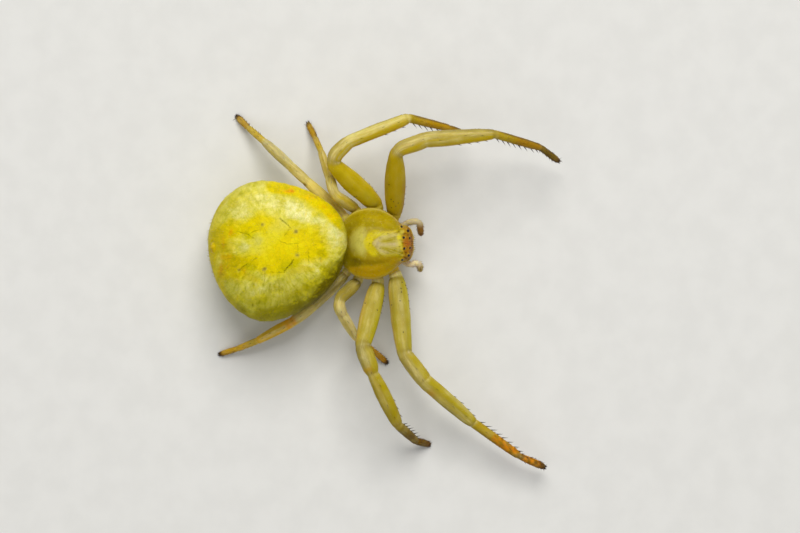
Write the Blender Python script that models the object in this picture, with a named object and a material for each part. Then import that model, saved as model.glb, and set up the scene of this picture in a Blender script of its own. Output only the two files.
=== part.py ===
"""Flower crab spider, adult female, life size, at rest with the forelegs held out.

Closed solids in metres, +Z up, head toward -Y, the spider's left toward +X.
The hind legs and the right second leg stand on small flats at Z = 0; the
forelegs are held clear of the floor. All lengths below are in millimetres.
"""

import math

import bmesh
import bpy
from mathutils import Matrix, Vector

for old in list(bpy.data.objects):
    bpy.data.objects.remove(old, do_unlink=True)

MM = 0.001
GAP = 0.06  # clearance between pieces that touch in life
RING_SIDES = 12  # facets round a leg

# ---------------------------------------------------------------- carapace
# forward distances are measured from the middle of the carapace
THORAX_HALF = 1.56  # half-width of the round thoracic part
THORAX_FRONT = 1.58  # from its widest place to where it would close in front
THORAX_REAR = 1.36
HEAD_HALF = 0.84  # half-width of the square-fronted head
HEAD_FRONT = 2.08  # front edge of the head
REAR_EDGE = -1.28
CARAPACE_TOP = 3.12  # above the floor
EDGE_LEVEL = 2.04  # the rim of the carapace, over the leg bases
STERNUM_HALF = 0.62
STERNUM_LOW = 1.34
STERNUM_MID, STERNUM_REACH = 0.14, 1.08

# ---------------------------------------------------------------- abdomen
ABDOMEN_FRONT, ABDOMEN_REAR = -0.86, -7.10
ABDOMEN_HALF = 3.16  # half-width at its widest
ABDOMEN_WIDEST = 0.59  # of the way back
ABDOMEN_UP, ABDOMEN_DOWN = 2.28, 2.42
ABDOMEN_LEVEL_FRONT, ABDOMEN_LEVEL, ABDOMEN_LEVEL_REAR = 3.12, 2.72, 2.30
ABDOMEN_SIDE_FRONT, ABDOMEN_SIDE_BOW = 0.07, -0.34  # the midline leans right

# ---------------------------------------------------------------- legs
# Each joint-to-joint length is (reach along the floor, heading, rise):
# headings in degrees from straight ahead, toward the left positive.
# In order: coxa with trochanter, femur, patella, tibia, metatarsus, tarsus.
LEGS = {
    "left_1": ((0.93, 0.70, 1.58), (
        (0.73, 66, -0.03), (2.74, 89, 2.40), (1.396, 19.4, 0.05),
        (3.07, 5, -0.45), (2.14, -15, -1.25), (0.96, -36, -0.50))),
    "left_2": ((0.44, 0.70, 1.58), (
        (1.01, 90, -0.13), (2.867, 137.2, 2.00), (1.182, 44.2, 0.10),
        (2.88, 22, -0.45), (1.85, -13, -1.00), (0.82, -20, -0.45))),
    "left_3": ((-0.07, 0.72, 1.58), (
        (0.97, 119, -0.16), (1.10, 147, 1.48), (0.76, 104, -0.40),
        (1.30, 109, -1.15), (0.68, 114, -0.73), (0.69, 116, -0.54))),
    "left_4": ((-0.48, 0.56, 1.52), (
        (0.91, 130, -0.12), (2.29, 137, 0.55), (0.92, 137, -0.10),
        (1.67, 137, -0.85), (0.94, 139, -0.55), (0.665, 135, -0.36))),
    "right_1": ((0.93, -0.69, 1.58), (
        (0.89, -65, -0.03), (3.44, -84, 0.95), (1.49, -53, 0.05),
        (2.90, -41, -0.90), (2.55, -36, -0.45), (1.13, -24, -0.20))),
    "right_2": ((0.44, -0.69, 1.58), (
        (1.12, -88, -0.08), (2.83, -104, 1.80), (1.33, -69, 0.05),
        (2.54, -64, -0.85), (1.12, -44, -1.80), (0.56, -16, -0.66))),
    "right_3": ((-0.07, -0.71, 1.58), (
        (1.08, -111, -0.13), (1.21, -136, 1.45), (0.62, -70, -0.45),
        (1.31, -60, -1.20), (0.87, -35, -0.75), (0.77, -43, -0.41))),
    "right_4": ((-0.48, -0.60, 1.52), (
        (0.91, -123, -0.12), (2.03, -135, 0.35), (1.18, -143, -0.10),
        (1.79, -152, -0.70), (0.98, -158, -0.53), (0.76, -163, -0.32))),
}
STANDING = ("left_3", "left_4", "right_2", "right_3", "right_4")

# Radii along each piece: start, swell at the middle, end.
LEG_RADII = {
    "1": {"coxa": (0.17, 0.295, 0.325), "femur": (0.38, 0.485, 0.38),
          "patella": (0.36, 0.38, 0.35), "tibia": (0.35, 0.36, 0.26),
          "metatarsus": (0.25, 0.25, 0.24), "tarsus": (0.24, 0.245, 0.20)},
    "2": {"coxa": (0.17, 0.285, 0.315), "femur": (0.36, 0.46, 0.36),
          "patella": (0.35, 0.395, 0.335), "tibia": (0.335, 0.345, 0.26),
          "metatarsus": (0.25, 0.25, 0.24), "tarsus": (0.24, 0.245, 0.20)},
    "3": {"coxa": (0.16, 0.235, 0.24), "femur": (0.27, 0.31, 0.27),
          "patella": (0.25, 0.25, 0.245), "tibia": (0.245, 0.25, 0.24),
          "metatarsus": (0.24, 0.24, 0.24), "tarsus": (0.24, 0.245, 0.20)},
    "4": {"coxa": (0.16, 0.22, 0.225), "femur": (0.25, 0.285, 0.25),
          "patella": (0.245, 0.245, 0.24), "tibia": (0.24, 0.245, 0.24),
          "metatarsus": (0.24, 0.24, 0.24), "tarsus": (0.24, 0.245, 0.20)},
}
PIECES = ("coxa", "femur", "patella", "tibia", "metatarsus", "tarsus")

# ---------------------------------------------------------------- palps
PALPS = {
    "left": ((1.42, 0.65, 1.66), ((0.49, 36, 0.16), (0.52, 10, 0.13), (0.60, -83, -0.45))),
    "right": ((1.42, -0.64, 1.66), ((0.58, -32, 0.18), (0.42, 16, 0.11), (0.36, -79, -0.40))),
}
PALP_RADIUS = 0.225

# ---------------------------------------------------------------- eyes
# forward, side, radius of the lens
EYES = {
    "eye_left_front_median": (1.87, 0.24, 0.075),
    "eye_right_front_median": (1.88, -0.19, 0.075),
    "eye_left_front_lateral": (1.77, 0.53, 0.085),
    "eye_right_front_lateral": (1.79, -0.50, 0.085),
    "eye_left_rear_median": (1.62, 0.26, 0.065),
    "eye_right_rear_median": (1.64, -0.22, 0.065),
    "eye_left_rear_lateral": (1.49, 0.70, 0.075),
    "eye_right_rear_lateral": (1.52, -0.68, 0.075),
}


def smooth(a, b, x):
    """0 below a, 1 above b, easing between."""
    t = min(1.0, max(0.0, (x - a) / (b - a)))
    return t * t * (3 - 2 * t)


def blend(a, b, t):
    return a + (b - a) * t


def three(values, t):
    """Start, middle and end values joined by one smooth curve."""
    a, m, b = values
    return blend(a, b, t) + (m - (a + b) / 2) * math.sin(math.pi * t) ** 0.8


def place(forward, left, up):
    return Vector((left, -forward, up))


# ------------------------------------------------------------- materials
def material(name, colour, roughness):
    mat = bpy.data.materials.new(name)
    mat.use_nodes = True
    shader = mat.node_tree.nodes["Principled BSDF"]
    shader.inputs["Base Color"].default_value = (*colour, 1.0)
    shader.inputs["Roughness"].default_value = roughness
    shader.inputs["Metallic"].default_value = 0.0
    mat.diffuse_color = (*colour, 1.0)
    return mat


LEMON = (0.78, 0.62, 0.03)
OLIVE = (0.42, 0.34, 0.03)
WAX = (0.58, 0.50, 0.16)
AMBER = (0.40, 0.22, 0.03)
DARK = (0.015, 0.010, 0.008)
PALE = (0.70, 0.60, 0.30)

stance = bpy.data.objects.new("stance", None)
bpy.context.scene.collection.objects.link(stance)


def finish(bm, name, origin, colour, roughness, smooth_angle=40):
    """Turn a mesh made about the world's origin into a named, placed object."""
    bm.normal_update()
    bmesh.ops.recalc_face_normals(bm, faces=bm.faces[:])
    bmesh.ops.translate(bm, verts=bm.verts[:], vec=-origin)
    bmesh.ops.scale(bm, verts=bm.verts[:], vec=(MM, MM, MM))
    mesh = bpy.data.meshes.new(name)
    bm.to_mesh(mesh)
    bm.free()
    mesh.shade_smooth()
    mesh.set_sharp_from_angle(angle=math.radians(smooth_angle))
    ob = bpy.data.objects.new(name, mesh)
    ob.location = origin * MM
    ob.parent = stance
    ob.data.materials.append(material(name, colour, roughness))
    bpy.context.scene.collection.objects.link(ob)
    return ob


def sweep(bm, rings):
    """Extrude one ring of points into the next, closing both ends with a face."""
    count = len(rings[0])
    slot = bm.verts.layers.int.new("place")
    start = bmesh.ops.create_circle(bm, cap_ends=True, segments=count, radius=1.0)["verts"]
    for k, v in enumerate(start):
        v[slot] = k
        v.co = rings[0][k]
    edges = [e for e in bm.edges if e.verts[0] in start and e.verts[1] in start]
    for ring in rings[1:]:
        grown = bmesh.ops.extrude_edge_only(bm, edges=edges)["geom"]
        for v in grown:
            if isinstance(v, bmesh.types.BMVert):
                v.co = ring[v[slot]]
        new = {v for v in grown if isinstance(v, bmesh.types.BMVert)}
        edges = [e for e in grown if isinstance(e, bmesh.types.BMEdge)
                 and e.verts[0] in new and e.verts[1] in new]
    bmesh.ops.edgeloop_fill(bm, edges=edges)


def ring_about(centre, along, wide, high, sides=RING_SIDES):
    """An ellipse square to the direction along, its wide axis level."""
    along = along.normalized()
    side = along.cross(Vector((0, 0, 1))).normalized()
    over = side.cross(along)
    return [centre + side * (wide * math.cos(a)) + over * (high * math.sin(a))
            for a in (2 * math.pi * (k + 0.5) / sides for k in range(sides))]


# ------------------------------------------------------------- leg lengths
def joints_of(hip, lengths):
    points = [place(*hip)]
    for reach, heading, rise in lengths:
        h = math.radians(heading)
        points.append(points[-1] + place(reach * math.cos(h), reach * math.sin(h), rise))
    return points


class Bend:
    """A circular bend at a joint, wider than the leg, so that its rings never cross."""

    def __init__(self, before, joint, after, radius):
        self.u, self.v = (joint - before).normalized(), (after - joint).normalized()
        self.turn = self.u.angle(self.v)
        self.axis = self.u.cross(self.v)
        if self.turn < 0.02:
            self.turn, self.cut = 0.0, 0.0
            self.joint = joint
            return
        self.axis.normalize()
        self.radius = radius
        self.cut = radius * math.tan(self.turn / 2)
        self.start = joint - self.u * self.cut
        self.middle = self.start + self.axis.cross(self.u) * radius

    def at(self, part):
        """Centre and direction at part (0 to 1) of the way round."""
        if not self.turn:
            return self.joint, self.u
        turn = Matrix.Rotation(self.turn * part, 3, self.axis)
        return self.middle + turn @ (self.start - self.middle), turn @ self.u

    def steps(self):
        """Rings on each side of the cut, none where the bend is shorter than the gap."""
        if self.cut < 1.5 * GAP:
            return 0
        return math.ceil(math.degrees(self.turn) / 2 / 26)


def leg_piece(a, b, bend_a, bend_b, radii, tall=1.0, extra=()):
    """Rings of one piece from the middle of one bend to the middle of the next."""
    rings = []
    length = (b - a).length
    cut_a = bend_a.cut if bend_a else 0.0
    cut_b = bend_b.cut if bend_b else 0.0
    along = (b - a).normalized()

    def add(centre, direction, part):
        r = three(radii, part)
        rings.append(ring_about(centre, direction, r, r * tall))

    if bend_a:
        centre, direction = bend_a.at(0.5)
        add(centre + direction * GAP / 2, direction, 0.0)
        n = bend_a.steps()
        for k in range(1, n + 1):
            centre, direction = bend_a.at(0.5 + 0.5 * k / n)
            add(centre, direction, cut_a / length * k / n)
    else:
        add(a, along, 0.0)
    shares = (0.22, 0.5, 0.78) if length > 1.6 else (0.5,)
    inner = [cut_a + (length - cut_a - cut_b) * f for f in shares]
    for s in inner:
        add(a + along * s, along, s / length)
    if bend_b:
        n = bend_b.steps()
        for k in range(n):
            centre, direction = bend_b.at(0.5 * k / n)
            add(centre, direction, 1 - cut_b / length * (1 - k / n))
        centre, direction = bend_b.at(0.5)
        add(centre - direction * GAP / 2, direction, 1.0)
    else:
        add(b, along, 1.0)
        for further, narrower in extra:
            r = radii[2] * narrower
            rings.append(ring_about(b + along * further, along, r, r * tall))
    return rings


def stand(bm):
    """Cut a foot level with the floor and close the cut with a flat."""
    bmesh.ops.bisect_plane(bm, geom=bm.verts[:] + bm.edges[:] + bm.faces[:], dist=1e-5,
                           plane_co=(0, 0, 0), plane_no=(0, 0, 1), clear_inner=True)
    edge = [e for e in bm.edges if e.is_boundary]
    bmesh.ops.edgeloop_fill(bm, edges=edge)


def build_leg(name, hip, lengths):
    kind = name[-1]
    radii = LEG_RADII[kind]
    p = joints_of(hip, lengths)
    bends = [None]
    for k in range(1, 6):
        width = max(radii[PIECES[k - 1]][2], radii[PIECES[k]][0])
        bends.append(Bend(p[k - 1], p[k], p[k + 1], width + 0.10))
    bends.append(None)
    for k, piece in enumerate(PIECES[:4]):
        rings = leg_piece(p[k], p[k + 1], bends[k], bends[k + 1], radii[piece],
                          tall=1.08 if piece == "coxa" else 1.0)
        bm = bmesh.new()
        sweep(bm, rings)
        finish(bm, f"leg_{name}_{piece}", p[k], OLIVE if k == 0 else WAX, 0.35)
    # metatarsus and tarsus make one foot, ending in the claw tuft
    rings = leg_piece(p[4], p[5], bends[4], bends[5], radii["metatarsus"])[:-1]
    rings += leg_piece(p[5], p[6], bends[5], None, radii["tarsus"],
                       extra=((0.06, 0.78), (0.10, 0.40)))[1:]
    bm = bmesh.new()
    sweep(bm, rings)
    if name in STANDING:
        stand(bm)
    finish(bm, f"leg_{name}_foot", p[4], AMBER if kind in "134" else WAX, 0.4)


# ------------------------------------------------------------- carapace
def carapace_half(f):
    thorax = THORAX_FRONT if f > 0 else THORAX_REAR
    a = THORAX_HALF * math.sqrt(max(0.0, 1 - (f / thorax) ** 2))
    h = min(1.0, max(0.0, f / HEAD_FRONT))
    b = HEAD_HALF * (1 - h ** 14) ** 0.5 if f > 0 else HEAD_HALF * 0.4
    return (a ** 3 + b ** 3) ** (1 / 3)


def carapace_edge(f):
    return EDGE_LEVEL + 0.12 * smooth(0.6, 1.4, f) - 0.20 * smooth(-0.7, REAR_EDGE, f)


def carapace_crown(f):
    """Height of the carapace on its middle line."""
    rear = smooth(REAR_EDGE - 0.15, -0.15, f) ** 0.75
    front = max(0.0, (f - 1.25) / (HEAD_FRONT - 1.25)) ** 2.4
    return blend(1.86, CARAPACE_TOP, rear) - 0.84 * front


def carapace_height(f, side):
    w, e = carapace_half(f), carapace_edge(f)
    s = min(1.0, abs(side) / w)
    return e + (carapace_crown(f) - e) * math.sqrt(max(0.0, 1 - s ** 2.3))


def build_cephalothorax():
    stations = [REAR_EDGE + d for d in (0.0, 0.08, 0.24, 0.46, 0.74, 1.05, 1.38, 1.72, 2.05, 2.35)]
    stations += [HEAD_FRONT - d for d in (0.74, 0.52, 0.34, 0.19, 0.08, 0.01)]
    rings = []
    top = 13
    for f in stations:
        w, e = carapace_half(f), carapace_edge(f)
        if f < REAR_EDGE + 0.04:
            w *= 0.62
        plug = smooth(-0.98, -0.80, f) * (1 - smooth(1.10, 1.24, f))
        reach = max(0.0, 1 - ((f - STERNUM_MID) / STERNUM_REACH) ** 2)
        half = blend(0.45 * w, max(0.18, STERNUM_HALF * math.sqrt(reach)), plug)
        rim = 0.05
        low = blend(e - rim - 0.07, STERNUM_LOW, plug)
        ring = []
        for k in range(top):
            a = math.pi * k / (top - 1)
            side = w * math.cos(a)
            ring.append(place(f, side, max(e, carapace_height(f, side))))
        under = [(w * 0.99, e - rim), (blend(half, w, 0.12), e - rim - 0.02),
                 (half, blend(e - rim - 0.03, low, 0.25)), (half * 0.95, blend(e, low, 0.80)), (half * 0.62, low)]
        ring += [place(f, -s, z) for s, z in under]
        ring += [place(f, s, z) for s, z in reversed(under)]
        rings.append(ring)
    bm = bmesh.new()
    sweep(bm, rings)
    finish(bm, "cephalothorax", place(0, 0, EDGE_LEVEL), OLIVE, 0.3, 50)


def surface_frame(f, side):
    """A point of the carapace and the direction square to it."""
    d = 0.02
    here = place(f, side, carapace_height(f, side))
    ahead = place(f + d, side, carapace_height(f + d, side)) - here
    left = place(f, side + d, carapace_height(f, side + d)) - here
    return here, ahead.cross(left).normalized() if ahead.cross(left).z > 0 else left.cross(ahead).normalized()


def build_eye(name, f, side, radius):
    here, out = surface_frame(f, side)
    bm = bmesh.new()
    bmesh.ops.create_uvsphere(bm, u_segments=8, v_segments=6, radius=radius)
    bmesh.ops.bisect_plane(bm, geom=bm.verts[:] + bm.edges[:] + bm.faces[:], dist=1e-5,
                           plane_co=(0, 0, -radius * 0.15), plane_no=(0, 0, 1), clear_inner=True)
    bmesh.ops.edgeloop_fill(bm, edges=[e for e in bm.edges if e.is_boundary])
    turn = Vector((0, 0, 1)).rotation_difference(out).to_matrix()
    base = here + out * (0.025 + radius * 0.15)
    bmesh.ops.transform(bm, matrix=Matrix.Translation(base) @ turn.to_4x4(), verts=bm.verts[:])
    finish(bm, name, base, DARK, 0.08, 60)


# ------------------------------------------------------------- abdomen
def abdomen_profile(t):
    """Half-width, as a share of the widest, at t of the way back."""
    if t < ABDOMEN_WIDEST:
        return max(0.0, 1 - ((ABDOMEN_WIDEST - t) / ABDOMEN_WIDEST) ** 1.75) ** 0.5
    return max(0.0, 1 - ((t - ABDOMEN_WIDEST) / (1 - ABDOMEN_WIDEST)) ** 1.95) ** 0.5


def abdomen_level(t):
    front = 1 - smooth(0.0, 0.45, t)
    rear = smooth(0.6, 1.0, t)
    return ABDOMEN_LEVEL + (ABDOMEN_LEVEL_FRONT - ABDOMEN_LEVEL) * front + (ABDOMEN_LEVEL_REAR - ABDOMEN_LEVEL) * rear


def abdomen_point(t, around):
    """Surface at t of the way back; around is 0 on the left, 90 on top."""
    share = abdomen_profile(t)
    c, s = math.cos(around), math.sin(around)
    side = blend(ABDOMEN_SIDE_FRONT, -0.06, t) + (ABDOMEN_SIDE_BOW) * math.sin(math.pi * t) ** 0.9
    high = ABDOMEN_UP if s > 0 else ABDOMEN_DOWN * blend(0.93, 1.0, smooth(0.0, 0.4, t))
    flat = 1 - 0.06 * max(0.0, -s) ** 3  # a slightly flattened underside
    return place(blend(ABDOMEN_FRONT, ABDOMEN_REAR, t),
                 side + ABDOMEN_HALF * share * c,
                 abdomen_level(t) + high * share * s * flat)


def build_abdomen():
    bm = bmesh.new()
    bmesh.ops.create_uvsphere(bm, u_segments=28, v_segments=18, radius=1.0)
    for v in bm.verts:
        t = (1 - max(-1.0, min(1.0, v.co.z))) / 2
        t = blend(t, smooth(0, 1, t), 0.25)
        around = math.atan2(v.co.y, v.co.x)
        v.co = abdomen_point(t, around)
    finish(bm, "abdomen", place(-4.5, -0.3, ABDOMEN_LEVEL), LEMON, 0.4, 180)


def build_pedicel():
    """The short waist between the two halves of the body."""
    path = [place(-1.34, 0.02, 1.76), place(-1.43, 0.02, 1.73), place(-1.54, 0.03, 1.68)]
    rings = [ring_about(c, place(-1, 0.05, 0), r, r * 0.8) for c, r in zip(path, (0.25, 0.24, 0.21))]
    bm = bmesh.new()
    sweep(bm, rings)
    finish(bm, "pedicel", path[0], OLIVE, 0.4)


def build_spinnerets():
    """A cluster of six short cones about a common base, under the tail."""
    t, down = 0.925, -math.pi / 2
    here = abdomen_point(t, down)
    slope = abdomen_point(t + 0.01, down) - abdomen_point(t - 0.01, down)
    back = Vector((0, slope.z, -slope.y)).normalized()
    base = here + back * GAP
    rings = []
    for along, size, lobes in (
            (0.0, 0.36, 0.02), (0.12, 0.35, 0.08), (0.26, 0.30, 0.20), (0.38, 0.22, 0.28), (0.46, 0.12, 0.20)):
        side = back.cross(Vector((0, 0, 1))).normalized()
        over = side.cross(back)
        ring = []
        for k in range(18):
            a = 2 * math.pi * k / 18
            r = size * (1 + lobes * math.cos(6 * a))
            ring.append(base + back * along + side * (r * 1.1 * math.cos(a)) + over * (r * 0.85 * math.sin(a)))
        rings.append(ring)
    bm = bmesh.new()
    sweep(bm, rings)
    finish(bm, "spinnerets", base, PALE, 0.5, 50)


# ------------------------------------------------------------- mouthparts
def build_chelicera(name, sign):
    """A jaw's stout base, hanging under the front edge of the head."""
    rows = (  # height, forward, side, half depth, half width
        (1.98, 1.88, 0.215, 0.15, 0.16), (1.90, 1.90, 0.22, 0.21, 0.185), (1.74, 1.90, 0.225, 0.22, 0.195),
        (1.56, 1.86, 0.22, 0.20, 0.19), (1.40, 1.80, 0.205, 0.16, 0.165), (1.30, 1.74, 0.18, 0.10, 0.11),
        (1.22, 1.69, 0.16, 0.04, 0.05),
    )
    rings = []
    for z, f, s, deep, wide in rows:
        rings.append([place(f + deep * math.sin(a), 0.025 + sign * s + wide * math.cos(a), z)
                      for a in (2 * math.pi * (k + 0.5) / 12 for k in range(12))])
    bm = bmesh.new()
    sweep(bm, rings)
    finish(bm, name, place(1.88, 0.025 + sign * 0.22, 2.0), OLIVE, 0.35)


def build_palp(name, hip, lengths):
    p = joints_of(hip, lengths)
    bends = [None] + [Bend(p[k - 1], p[k], p[k + 1], PALP_RADIUS + 0.05) for k in (1, 2)] + [None]
    r = PALP_RADIUS
    rings = leg_piece(p[0], p[1], None, bends[1], (r * 0.8, r, r))[:-1]
    rings += leg_piece(p[1], p[2], bends[1], bends[2], (r, r, r))[1:]
    bm = bmesh.new()
    sweep(bm, rings)
    finish(bm, f"palp_{name}_limb", p[0], WAX, 0.4)
    rings = leg_piece(p[2], p[3], bends[2], None, (r, r * 1.02, r * 0.8), extra=((0.06, 0.6),))
    bm = bmesh.new()
    sweep(bm, rings)
    finish(bm, f"palp_{name}_tip", p[2], PALE, 0.4)


build_cephalothorax()
build_abdomen()
build_pedicel()
build_spinnerets()
for eye, (eye_forward, eye_side, eye_radius) in EYES.items():
    build_eye(eye, eye_forward, eye_side, eye_radius)
build_chelicera("chelicera_left", 1)
build_chelicera("chelicera_right", -1)
for palp, (palp_hip, palp_lengths) in PALPS.items():
    build_palp(palp, palp_hip, palp_lengths)
for leg, (leg_hip, leg_lengths) in LEGS.items():
    build_leg(leg, leg_hip, leg_lengths)

# Stand the model over the middle of its own length and width.
bpy.context.view_layer.update()
corners = [ob.matrix_world @ v.co for ob in bpy.data.objects if ob.type == "MESH" for v in ob.data.vertices]
middle = [(min(c[k] for c in corners) + max(c[k] for c in corners)) / 2 for k in (0, 1)]
stance.location = (-middle[0], -middle[1], 0.0)
bpy.context.view_layer.update()
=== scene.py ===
"""Looks of the crab spider: one skin over the whole body, its eyes, claws and hairs.

Lengths are in millimetres until a mesh is made. "Forward" is measured from the
middle of the carapace toward the head, "left" is the spider's own left, and
"up" is above the floor.
"""

import math

import bpy
import numpy as np
from mathutils import Matrix, Vector


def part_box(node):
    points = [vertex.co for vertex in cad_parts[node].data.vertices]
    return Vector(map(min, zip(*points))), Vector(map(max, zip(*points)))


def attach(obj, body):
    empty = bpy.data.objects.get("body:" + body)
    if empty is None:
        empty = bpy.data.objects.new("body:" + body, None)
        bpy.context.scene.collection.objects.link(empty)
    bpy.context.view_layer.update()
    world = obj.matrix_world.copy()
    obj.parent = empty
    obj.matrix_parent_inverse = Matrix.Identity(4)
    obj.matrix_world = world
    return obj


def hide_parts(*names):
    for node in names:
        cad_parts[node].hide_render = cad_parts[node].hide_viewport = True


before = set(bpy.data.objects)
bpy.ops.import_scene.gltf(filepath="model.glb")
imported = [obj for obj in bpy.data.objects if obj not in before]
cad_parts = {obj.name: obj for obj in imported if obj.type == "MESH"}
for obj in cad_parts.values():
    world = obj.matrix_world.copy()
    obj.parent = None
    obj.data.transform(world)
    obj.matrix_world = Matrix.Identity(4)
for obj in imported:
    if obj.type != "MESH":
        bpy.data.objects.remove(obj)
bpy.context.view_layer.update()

MM = 0.001
UP = np.array((0.0, 0.0, 1.0))

# ------------------------------------------------------------- dimensions
THORAX_HALF, THORAX_FRONT, THORAX_REAR = 1.56, 1.58, 1.36
HEAD_HALF, HEAD_FRONT, REAR_EDGE = 0.84, 2.08, -1.28
CARAPACE_TOP, EDGE_LEVEL = 3.12, 2.04
STERNUM_HALF, STERNUM_LOW, STERNUM_MID, STERNUM_REACH = 0.61, 1.35, 0.14, 1.07

ABDOMEN_FRONT, ABDOMEN_REAR = -0.87, -7.09
ABDOMEN_HALF, ABDOMEN_WIDEST = 3.15, 0.59
ABDOMEN_UP, ABDOMEN_DOWN = 2.27, 2.41
ABDOMEN_LEVELS = (3.12, 2.72, 2.30)
ABDOMEN_SIDE_FRONT, ABDOMEN_SIDE_BOW = 0.07, -0.34

LEGS = {  # hip, then (reach, heading, rise) of coxa, femur, patella, tibia, metatarsus, tarsus
    "left_1": ((0.93, 0.70, 1.58), (
        (0.73, 66, -0.03), (2.74, 89, 2.40), (1.396, 19.4, 0.05),
        (3.07, 5, -0.45), (2.14, -15, -1.25), (0.96, -36, -0.50))),
    "left_2": ((0.44, 0.70, 1.58), (
        (1.01, 90, -0.13), (2.867, 137.2, 2.00), (1.182, 44.2, 0.10),
        (2.88, 22, -0.45), (1.85, -13, -1.00), (0.82, -20, -0.45))),
    "left_3": ((-0.07, 0.72, 1.58), (
        (0.97, 119, -0.16), (1.10, 147, 1.48), (0.76, 104, -0.40),
        (1.30, 109, -1.15), (0.68, 114, -0.73), (0.69, 116, -0.54))),
    "left_4": ((-0.48, 0.56, 1.52), (
        (0.91, 130, -0.12), (2.29, 137, 0.55), (0.92, 137, -0.10),
        (1.67, 137, -0.85), (0.94, 139, -0.55), (0.665, 135, -0.36))),
    "right_1": ((0.93, -0.69, 1.58), (
        (0.89, -65, -0.03), (3.44, -84, 0.95), (1.49, -53, 0.05),
        (2.90, -41, -0.90), (2.55, -36, -0.45), (1.13, -24, -0.20))),
    "right_2": ((0.44, -0.69, 1.58), (
        (1.12, -88, -0.08), (2.83, -104, 1.80), (1.33, -69, 0.05),
        (2.54, -64, -0.85), (1.12, -44, -1.80), (0.56, -16, -0.66))),
    "right_3": ((-0.07, -0.71, 1.58), (
        (1.08, -111, -0.13), (1.21, -136, 1.45), (0.62, -70, -0.45),
        (1.31, -60, -1.20), (0.87, -35, -0.75), (0.77, -43, -0.41))),
    "right_4": ((-0.48, -0.60, 1.52), (
        (0.91, -123, -0.12), (2.03, -135, 0.35), (1.18, -143, -0.10),
        (1.79, -152, -0.70), (0.98, -158, -0.53), (0.76, -163, -0.32))),
}
BEND_WIDTHS = {  # the thicker of the two lengths that meet at each joint, in the solids
    "1": (0.38, 0.38, 0.35, 0.26, 0.24), "2": (0.36, 0.36, 0.335, 0.26, 0.24),
    "3": (0.27, 0.27, 0.245, 0.24, 0.24), "4": (0.25, 0.25, 0.24, 0.24, 0.24),
}
PALPS = {
    "left": ((1.42, 0.65, 1.66), ((0.49, 36, 0.16), (0.52, 10, 0.13), (0.60, -83, -0.45))),
    "right": ((1.42, -0.64, 1.66), ((0.58, -32, 0.18), (0.42, 16, 0.11), (0.36, -79, -0.40))),
}
EYES = {  # forward, side, radius of the lens
    "eye_left_front_median": (1.87, 0.24, 0.050),
    "eye_right_front_median": (1.88, -0.19, 0.050),
    "eye_left_front_lateral": (1.77, 0.53, 0.062),
    "eye_right_front_lateral": (1.79, -0.50, 0.062),
    "eye_left_rear_median": (1.62, 0.26, 0.054),
    "eye_right_rear_median": (1.64, -0.22, 0.054),
    "eye_left_rear_lateral": (1.49, 0.70, 0.054),
    "eye_right_rear_lateral": (1.52, -0.68, 0.054),
}

# The solids stand over the middle of their own length and width.
_low, _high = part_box("cephalothorax")
SHIFT = np.array(((_low.x + _high.x) / 2 / MM, _high.y / MM + REAR_EDGE, 0.0))


# ---------------------------------------------------------------- numbers
def smooth(a, b, x):
    t = np.clip((x - a) / (b - a), 0.0, 1.0)
    return t * t * (3 - 2 * t)


def blend(a, b, t):
    return a + (b - a) * t


def hill(x, middle, width):
    return np.exp(-(((x - middle) / width) ** 2))


def unit(v):
    v = np.asarray(v, float)
    return v / np.maximum(np.linalg.norm(v, axis=-1, keepdims=True), 1e-12)


def place(forward, left, up):
    forward, left, up = np.broadcast_arrays(forward, left, up)
    return np.stack((left, -forward, up), -1).astype(float)


def through(knots, x):
    """A smooth curve through (x, value) knots that doesn't swing past them."""
    k = np.array([a for a, _ in knots], float)
    y = np.array([b for _, b in knots], float)
    slope = np.diff(y) / np.diff(k)
    m = np.zeros(len(k))
    m[1:-1] = np.where(slope[1:] * slope[:-1] > 0,
                       2 * slope[1:] * slope[:-1] / np.where(np.abs(slope[1:] + slope[:-1]) < 1e-9, 1e-9, slope[1:] + slope[:-1]), 0.0)
    m[0], m[-1] = slope[0], slope[-1]
    x = np.clip(x, k[0], k[-1])
    i = np.clip(np.searchsorted(k, x, side="right") - 1, 0, len(k) - 2)
    h = k[i + 1] - k[i]
    t = (x - k[i]) / h
    return ((2 * t ** 3 - 3 * t ** 2 + 1) * y[i] + (t ** 3 - 2 * t ** 2 + t) * h * m[i]
            + (-2 * t ** 3 + 3 * t ** 2) * y[i + 1] + (t ** 3 - t ** 2) * h * m[i + 1])


class Ripple:
    """Smooth random unevenness in space, the same on every run."""

    def __init__(self, seed, frequency, count=26):
        rng = np.random.default_rng(seed)
        self.k = unit(rng.normal(size=(count, 3))) * frequency * rng.uniform(0.55, 1.45, (count, 1))
        self.phase = rng.uniform(0, 2 * math.pi, count)
        self.scale = math.sqrt(2 / count)

    def __call__(self, p):
        return np.sin(p @ self.k.T + self.phase).sum(-1) * self.scale


def srgb(r, g, b):
    """A screen colour of 0 to 255 as linear light."""
    c = np.array((r, g, b), float) / 255
    return np.where(c <= 0.04045, c / 12.92, ((c + 0.055) / 1.055) ** 2.4)


def tint(a, b, share):
    return a + (b - a) * np.asarray(share)[..., None]


# ------------------------------------------------------- places on one map
def leg_strip(side, row):
    left = 0.02 if side == "left" else 0.515
    return (left, 0.015 + 0.093 * row, left + 0.465, 0.100 + 0.093 * row, False)


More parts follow.
